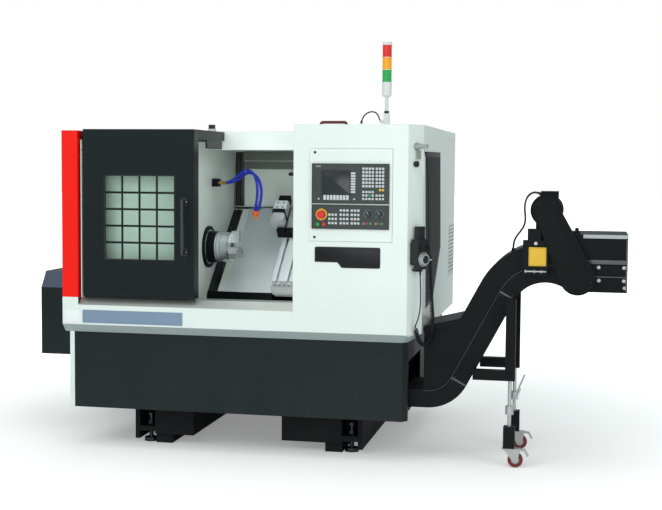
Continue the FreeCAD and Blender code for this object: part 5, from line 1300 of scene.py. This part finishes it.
@dataclass
class WorkSpaceTrim:
    """Wipers, ledges, lamp and screws inside the work space."""

    wall: float = 1140.0
    wiper: tuple[float, float] = (603.0, 658.0)
    bed: tuple[float, float] = (554.0, 758.0)
    slant: float = math.radians(40)
    axis: tuple[float, float] = (600.0, 1025.0)
    flange_face: float = 612.3
    chuck_back: float = 658.3
    chuck_face: float = 740.3
    jaw_face: float = 782.3
    bolt_circle: float = 104.0
    jaw_bolts: tuple[float, float] = (42.0, 71.0)
    slot_floor: float = 93.3

    def slope(self, x: float, u: float, n: float) -> Array:
        """Scene point on the slanted bed: u up the slope, n out of it."""
        _, up, out = self.slope_axes
        return DATUM.at(x, *self.bed) + (u * up + n * out) * MM

    @property
    def slope_axes(self) -> Axes:
        """Right, up the slope and out of it."""
        c, s = math.cos(self.slant), math.sin(self.slant)
        return RIGHT, np.array([0, c, s]), np.array([0, -s, c])

    def on_axis(self, x: float) -> Array:
        """Scene point on the spindle's axis."""
        return DATUM.at(x, *self.axis)

    def wipers(self) -> None:
        """Two dark strips that run down the back wall and then along the slope."""
        x0, x1 = self.wiper
        upright = ((1236, 1556), DATUM.at(0, self.wall, 0), FRONT)
        lying = ((40, 716), self.slope(0, 0, -5.2), self.slope_axes)
        sheet = [face_plate(x0, x1, *span, depth, *place, 1.0) for depth, (span, *place) in
                 ((2.0, upright), (1.4, lying))]
        Shape.joined(sheet).piece("wiper_sheets", DARK_STEEL)
        ribs = [face_plate(x, x + 9, *span, depth, *place, 1.0, 2.0) for depth, (span, *place) in
                ((7.0, upright), (5.0, lying)) for x in (x0 + 1, x0 + 26)]
        Shape.joined(ribs).piece("wiper_ribs", RUBBER)

    def ledges(self) -> None:
        """Stepped cable duct under the roof, and the work lamp."""
        for name, finish, span, depth, radius, edge in (
                # The duct's two plates are dark grey as painted shade under the roof.
                ("duct_upper", DUCT_SHADE, (660, 1226, 1508, 1559), 34.0, 1.0, 1.5),
                ("duct_lower", DUCT_SHADE, (660, 1226, 1456, 1500), 14.0, 1.0, 1.5),
                ("duct_strip", STAINLESS, (660, 1226, 1500, 1508), 24.0, 1.0, 1.5),
                ("work_lamp", BLACK_PLASTIC, (932, 1180, 1418, 1437), 26.0, 4.0, 2.0),
                ("work_lamp_lens", KEY_PALE, (940, 1172, 1437, 1447), 20.0, 4.0, 2.0)):
            face_plate(*span, depth, DATUM.at(0, self.wall, 0), FRONT, radius, edge).piece(name, finish)

    def fixings(self) -> None:
        """Rings and bolts of the spindle flange, chuck and jaws."""
        axes = axes_along(RIGHT)
        flange = self.on_axis(self.flange_face)
        ring(90.0, 95.0, SUNK, 1.6, flange, axes, 72).piece("flange_ring", TURNED, "spindle")
        circle = [flange + spoke(axes, angle)[0] * self.bolt_circle * MM for angle in np.arange(6) * math.pi / 3]
        heads("flange_bolts", DARK_SCREW, circle, axes, 5.0, 4.0, "spindle")
        bands = [ring(82.4, 82.75, x, x + 1.6, self.on_axis(self.chuck_back), axes, 72) for x in (9, 31, 72)]
        Shape.joined(bands).piece("chuck_bands", DARK_STEEL, "spindle")
        ring(27.0, 30.5, SUNK, 0.8, self.on_axis(self.chuck_face), axes, 48).piece("chuck_nose", DARK_STEEL, "spindle")
        for jaw, turn in enumerate((90, -30, 210), 1):
            way = spoke(axes, math.radians(turn))[0]
            heads(f"jaw_{jaw}_screws", DARK_SCREW, [self.on_axis(self.jaw_face) + way * r * MM
                                                     for r in self.jaw_bolts], axes, 5.5, 1.2, f"jaw_{jaw}")

    def screws(self, name: str, places: Sequence[Point], face: Axes, radius: float, depth: float) -> None:
        """Makes a piece of screws at (x, u, n) places of the slope that goes with the cross slide."""
        heads(name, DARK_SCREW, [self.slope(*place) for place in places], face, radius, depth, "x_carriage")

    def tools(self) -> None:
        """Screws of the tool blocks, nuts in the T-slots and screws of the slide."""
        axes = self.slope_axes
        end = (RIGHT, axes[2], -axes[1])
        side = ((486, 176), (511, 200), (536, 180), (457, 190), (457, 212))
        nuts = [hex_head(self.slope(x, u, self.slot_floor), axes, 11.5, 9.0)
                for x, u in ((1016.25, 352), (1078.75, 210), (1141.25, 352), (1203.75, 210))]
        self.screws("tool_screws", [(925, u, n) for u, n in side], axes_along(-RIGHT), 5.0, 1.6)
        self.screws("tool_clamp_screws", [*itertools.product((945, 978), (492, 530), (221.2,))], axes, 5.0, 3.0)
        Shape.joined(nuts).piece("slot_nuts", DARK_SCREW, "x_carriage")
        self.screws("post_screws", [*itertools.product((1012, 1034), (384, 408), (133.2,))], axes, 6.0, 5.0)
        self.screws("slide_end_screws", [(x, 30, 66) for x in range(1000, 1240, 26)], end, 4.0, 2.4)

    def build(self) -> None:
        """Makes all pieces of the work space."""
        self.wipers()
        self.ledges()
        self.fixings()
        self.tools()


@dataclass
class ConveyorTrim:
    """Seams, strips, bolts, plates and motor fins of the chip conveyor."""

    front: float = 130.0
    plate_y: float = 96.0
    guard_y: float = 88.0
    low: float = 272.0
    track: float = 90.0
    rise: float = math.radians(62.0)
    lower: tuple[float, float, float] = (1890.0, 492.5, 220.5)
    upper: tuple[float, float, float] = (2465.4, 747.2, 168.0)
    joints: tuple[tuple[float, float], ...] = ((2084.7, 389.0), (2317.1, 826.1))
    motor: tuple[float, float] = (2461.0, 1266.0)
    pulley: tuple[float, float, float] = (2461.0, 1274.0, 56.0)
    sprocket: tuple[float, float, float] = (2617.0, 945.0, 81.0)

    def off(self, point: tuple[float, float], depth: float, along: float = 0.0) -> tuple[float, float]:
        """Machine X and Z of a point moved from the duct's underside towards its cover, and along it."""
        c, s = math.cos(self.rise), math.sin(self.rise)
        return point[0] - depth * s + along * c, point[1] + depth * c + along * s

    def line(self, depth: float) -> Array:
        """Machine X and Z along the duct, a steady depth over its underside: two arcs and a slope."""
        turn = np.linspace(0, self.rise, 16)
        x, z, r = self.lower
        first = np.column_stack([x + (r - depth) * np.sin(turn), z - (r - depth) * np.cos(turn)])
        x, z, r = self.upper
        back = turn[::-1]
        last = np.column_stack([x - (r + depth) * np.sin(back), z + (r + depth) * np.cos(back)])
        return np.concatenate([[[1868.0, self.low + depth]], first, last, [[2560.0, z + r + depth]]])

    def band(self, depth: float, width: float, out: float) -> Shape:
        """Flat strip on the front side along the duct: rectangular rings along the line.

        Args:
            depth: Height of its middle over the duct's underside.
            width: Its width.
            out: How far it stands out of the duct's side.

        Returns:
            The closed strip.
        """
        line = self.line(depth)
        x, z = headings(line).T
        normal = np.column_stack([-z, x]) * width
        corners = ((-0.5, 0.3), (-0.5, -out), (0.5, -out), (0.5, 0.3))
        rings = [np.insert(line + normal * a, 1, self.front + b, axis=1) for a, b in corners[::-1]]
        return Shape.grid(DATUM.along(np.stack(rings, axis=1)))

    def cross(self, point: tuple[float, float], low: float, high: float) -> Shape:
        """Joint strip square to the duct between two depths."""
        x, z = self.off(point, (low + high) / 2)
        axes = spoke((RIGHT, UP, -BACK), self.rise)
        return slab(rounded_rectangle(9, high - low, 1), 2.4, 0.8, DATUM.at(x, self.front, z), axes, SUNK)

    def bar(self, span: Span, y: float, depth: float, radius: float = 1.0, edge: float = 0.8) -> Shape:
        """Plate that stands on the plane at y and faces the front."""
        return face_plate(*span, depth, DATUM.at(0, y, 0), FRONT, radius, edge, 0.0)

    def seams(self) -> None:
        """Long flange seam, joint strips and the bolts beside them, and the hopper's rim."""
        self.band(self.track, 7.0, 2.2).piece("duct_seam", BLACK, sharp=25)
        # The seam's edge strip and the joint strips are grey as painted highlight.
        self.band(self.track - 5.5, 1.6, 2.6).piece("duct_seam_edge", EDGE_HIGHLIGHT, sharp=25)
        Shape.joined([self.cross(point, 3, self.track - 5) for point in self.joints]).piece("duct_joints", EDGE_HIGHLIGHT)
        places = [self.off(*place) for place in itertools.product(self.joints, (18, 70), (-14, 14))]
        heads("duct_bolts", DARK_SCREW, [DATUM.at(x, self.front, z) for x, z in places], FRONT, SHEET_SCREW)
        self.bar((1900, 2052, 662, 668), self.front, 3.0).piece("hopper_rim", BLACK)

    def head(self) -> None:
        """Pale lid strip, ledge, lines, bolts and latch of the delivery head."""
        self.bar((2640, 2851, 1136, 1154), self.front, 3.0).piece("lid_strip", EDGE_PALE)
        # The ledge and the lines are grey as painted highlight on the head's edges.
        self.bar((2660, 2853, 1012, 1032), self.front, 9.0, edge=1.2).piece("head_ledge", EDGE_HIGHLIGHT)
        lines = [self.bar((2690, 2853, 948, 952), self.front, 2.5, edge=0.6),
                 self.bar((2845, 2852.5, 880, 1132), self.front, 2.0, edge=0.6)]
        Shape.joined(lines).piece("head_lines", EDGE_HIGHLIGHT)
        bolts = [hex_head(DATUM.at(x, self.front, z), FRONT, 10.0, 5.0)
                 for x, z in ((2716, 996), (2836, 996), (2718, 932), (2836, 932), (2840, 898))]
        Shape.joined(bolts).piece("head_bolts", ZINC)
        latch = [self.bar((2592, 2626, 1156, 1168), self.front + 16, 16.0, 2.0),
                 self.bar((2600, 2618, 1160, 1186), self.front + 12, 10.0, 3.0)]
        Shape.joined(latch).piece("lid_latch", BLACK)

    def bracket(self) -> None:
        """Blank yellow plate with its border, tension rod and step of the motor's bracket."""
        y = self.plate_y
        self.bar((2382, 2466, 998, 1089), y, 1.0, 2.0, 0.3).piece("yellow_plate", YELLOW)
        border = frame_band(2386, 2462, 1002, 1085, 1.4, 1.2, DATUM.at(0, y, 0), FRONT, 2.0)
        border.piece("plate_border", BLACK_PLASTIC)
        hex_head(DATUM.at(2415, y, 1108), FRONT, 10.0, 5.0).piece("bracket_bolt", ZINC)
        along = axes_along(RIGHT)
        rod = [turned([(0.05, 0), (4, 0), (4, 104), (0.05, 104)], DATUM.at(2363, self.guard_y, 972), along, 14)]
        rod += [hex_head(DATUM.at(x, self.guard_y, 972), along, 12.0, 7.0) for x in (2366, 2408, 2440)]
        Shape.joined(rod).piece("tension_rod", ZINC)
        self.bar((2360, 2470, 962, 966), y, 6.0).piece("bracket_step", BLACK)

    def drive(self) -> None:
        """Motor fins and fan cowl, and the face and screws of the chain guard."""
        axes = axes_along(BACK)
        centre = DATUM.at(self.motor[0], 0, self.motor[1])
        fins = [ring(70.0, 79.5, y, y + 3.2, centre, axes, 64) for y in range(190, 352, 12)]
        Shape.joined(fins).piece("motor_fins", BLACK)
        cowl = [ring(60.0, 70.0, 408.0, 411.5, centre, axes, 64)]
        cowl += [ring(r, r + 3, 409.0, 412.0, centre, axes, 48) for r in (18, 32, 46)]
        Shape.joined(cowl).piece("fan_cowl", BLACK)
        guard = slab(self.guard_outline(), 2.4, 0.9, DATUM.at(0, self.guard_y, 0), FRONT, -2.0)
        guard.piece("guard_face", BLACK)
        heads("guard_screws", DARK_SCREW, [DATUM.at(x, self.guard_y - 0.4, z) for x, z in
                                           ((2423, 1300), (2497, 1306), (2560, 905), (2680, 925))], FRONT, SHEET_SCREW)

    def guard_outline(self) -> Array:
        """Belt-shaped outline round two wheels: arcs joined by their outer tangents."""
        (x0, z0, r0), (x1, z1, r1) = self.pulley, self.sprocket
        heading = math.atan2(z1 - z0, x1 - x0)
        spread = math.acos((r0 - r1) / math.hypot(x1 - x0, z1 - z0))
        far = heading + np.linspace(-spread, spread, 25)
        near = heading + np.linspace(spread, 2 * math.pi - spread, 25)
        return np.concatenate([np.column_stack([x1 + r1 * np.cos(far), z1 + r1 * np.sin(far)]),
                               np.column_stack([x0 + r0 * np.cos(near), z0 + r0 * np.sin(near)])])

    def wheels(self) -> None:
        """Hubs on both faces of each caster wheel."""
        profile = [(19, -0.4), (19, 0.5), (16, 1.3), (9, 1.4), (5, 1.9), (0.05, 1.9)]
        for body in ("wheel_front", "wheel_rear"):
            low, high = map(np.array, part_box(body))
            half = (high[1] - low[1]) / 2
            hubs = [turned(profile, (low + high) / 2 + way * half, axes_along(way), 28) for way in (-BACK, BACK)]
            Shape.joined(hubs).piece(body + "_hubs", ZINC, body)

    def build(self) -> None:
        """Makes all pieces of the conveyor."""
        self.seams()
        self.head()
        self.bracket()
        self.drive()
        self.wheels()


@dataclass
class TowerTrim:
    """Seams between the lenses, pole nut and foot screws of the tower light."""

    x: float = 1658.0
    y: float = 200.0
    lens_z: float = 1896.0
    lens_pitch: float = 62.0
    nut_z: float = 1746.0
    foot_z: float = 1686.0

    def build(self) -> None:
        """Makes the seam rings, the pole's nut and the foot's screws."""
        lenses = DATUM.at(self.x, self.y, self.lens_z)
        seams = [ring(23.6, 24.6, h - 1.2, h + 1.2, lenses, TOP, 48) for h in np.arange(4) * self.lens_pitch]
        Shape.joined(seams).piece("lens_seams", MAST)
        ring(9.05, 12.5, -4.0, 7.0, DATUM.at(self.x, self.y, self.nut_z), TOP, 32).piece("pole_nut", DARK_SCREW)
        places = DATUM.grid((self.x - 24, self.x + 18), (self.y - 18, self.y + 18), (self.foot_z,))
        heads("tower_foot_screws", ZINC, places, TOP, 3.0, 2.0)



def build_cords() -> None:
    """Makes every hose and cable."""
    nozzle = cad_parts["coolant_nozzle"]
    SegmentedHose("coolant_hose_front", HOSE_FRONT, (nozzle,)).build()
    SegmentedHose("coolant_hose_back", HOSE_BACK).build()
    PlainCable("tower_cable", TOWER_CABLE, 3.5).build()
    PlainCable("motor_cable", MOTOR_CABLE, 5.0).build()
    PendantCord().build()


def build_reliefs() -> None:
    """Makes the tapered sleeves where cords leave their housings."""
    for name, place, direction, foot, tip, length in (
            ("tower_sleeve", (1530, 200, 1691), (0.1, 0, 1), 7.0, 4.4, 16),
            ("pendant_sleeve", (1861.7, 20.9, 976), (0.02, -0.01, -1), 7.5, 4.2, 30),
            ("motor_sleeve", (2433, 250, 1343.5), (-0.9, 0, 0.42), 9.5, 6.2, 20),
            ("plug_sleeve", (1883, 5, 1550), (0.05, 0.2, -1), 7.5, 4.2, 26)):
        relief(name, DATUM.at(*place), direction, foot, tip, length)


# ---- studio -------------------------------------------------------------------------------------
@dataclass
class Studio:
    """Floor, lights and camera."""

    eye: tuple[float, float, float] = (2659.9, -6018.7, 1465.2)
    yaw: float = 11.64
    pitch: float = -3.99
    roll: float = 0.46
    lens: float = 67.76
    ambient: float = 0.54
    shade_tint: Tint = (0.90, 1.0, 0.975, 1.0)

    def floor(self) -> None:
        """Plain pale floor, far larger than the machine and half a millimetre under its feet."""
        mesh = bpy.data.meshes.new("floor")
        mesh.from_pydata([(x, y, -0.0005) for x, y in ((-40, -40), (40, -40), (40, 60), (-40, 60))], [], [range(4)])
        mesh.materials.append(Backdrop("floor", (0.95, 0.95, 0.95, 1.0), 0.7, 3.0, 0.0, 0.01).material())
        floor = linked("floor", mesh)

    def world(self) -> None:
        """Plain surroundings: white to the camera, dimmer and faintly green to the machine."""
        world = bpy.data.worlds.new("studio")
        world.use_nodes = True
        graph = Graph(world.node_tree)
        seen = graph.add("LightPath")["Is Camera Ray"]
        strength = graph.add("MapRange", {"Value": seen, "To Min": self.ambient, "To Max": 1.0})[0]
        graph.fill(world.node_tree.nodes["Background"],
                   {0: graph.blend(seen, self.shade_tint, (1.0, 1.0, 1.0, 1.0)), 1: strength})
        bpy.context.scene.world = world

    def lamp(self, name: str, place: Point, aim: Point, size: float, watts: float) -> None:
        """One soft square light that looks at a point.

        Args:
            name: Its name.
            place, aim: Where it stands and looks, in scene metres.
            size: Its side in metres.
            watts: Its power.
        """
        data = bpy.data.lights.new(name, "AREA")
        data.shape, data.size, data.energy = "SQUARE", size, watts
        lamp = linked(name, data)
        _, _, out = axes_along(np.asarray(place, float) - np.asarray(aim, float))
        lamp.location = place
        lamp.rotation_mode = "QUATERNION"
        lamp.rotation_quaternion = Vector(out).to_track_quat("Z", "Y")
        lamp.visible_camera = False

    def camera(self) -> None:
        """Camera from its yaw, pitch and roll: forward = (-sin y cos p, cos y cos p, sin p)."""
        yaw, pitch, roll = map(math.radians, (self.yaw, self.pitch, self.roll))
        data = bpy.data.cameras.new("camera")
        data.lens, data.sensor_width = self.lens, 36.0
        data.clip_start, data.clip_end = 0.1, 200.0
        camera = linked("camera", data)
        turn = Matrix.Rotation(yaw, 4, "Z") @ Matrix.Rotation(math.pi / 2 + pitch, 4, "X")
        camera.matrix_world = Matrix.Translation(DATUM.at(*self.eye)) @ turn @ Matrix.Rotation(roll, 4, "Z")
        bpy.context.scene.camera = camera

    def build(self) -> None:
        """Makes the whole studio."""
        self.floor()
        self.world()
        self.lamp("key", (-3.0, -5.5, 4.5), (0.0, 0.0, 0.8), 3.5, 112.0)
        self.lamp("front", (0.3, -6.5, 1.3), (-0.2, 0.0, 0.9), 2.2, 34.0)
        self.lamp("fill", (4.5, -4.0, 2.5), (0.0, 0.0, 0.9), 3.0, 60.0)
        self.lamp("top", (0.0, -1.0, 5.5), (0.0, 0.0, 0.0), 4.0, 50.0)
        for name, place, aim, size, watts in (
                ("beam", (900, 190, 1480), (900, 556, 1610), 0.35, 0.5),
                ("sill", (1060, 330, 740), (1090, 620, 860), 0.2, 0.3),
                ("work_space", (1060, 650, 1430), (830, 640, 950), 0.25, 0.3),
                ("chuck", (1120, 60, 1090), (860, 600, 1040), 0.12, 0.8)):
            self.lamp(name, DATUM.at(*place), DATUM.at(*aim), size, watts)
        bpy.context.scene.view_settings.view_transform = "Standard"


def corners(box: tuple) -> list[list[float]]:
    """Box corners as plain lists."""
    return [[float(c) for c in corner] for corner in box]


def main() -> None:
    """Builds the looks."""
    logging.basicConfig(level=logging.INFO, format="%(name)s: %(message)s")
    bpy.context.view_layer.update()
    studio = Studio()
    studio.camera()
    build_cords()
    dress_nodes()
    build_reliefs()
    for trim in (CasingTrim(), DoorTrim(), PanelTrim(), PendantTrim(), WorkSpaceTrim(), ConveyorTrim(), TowerTrim()):
        trim.build()
    studio.build()


if __name__ == "__main__":
    main()
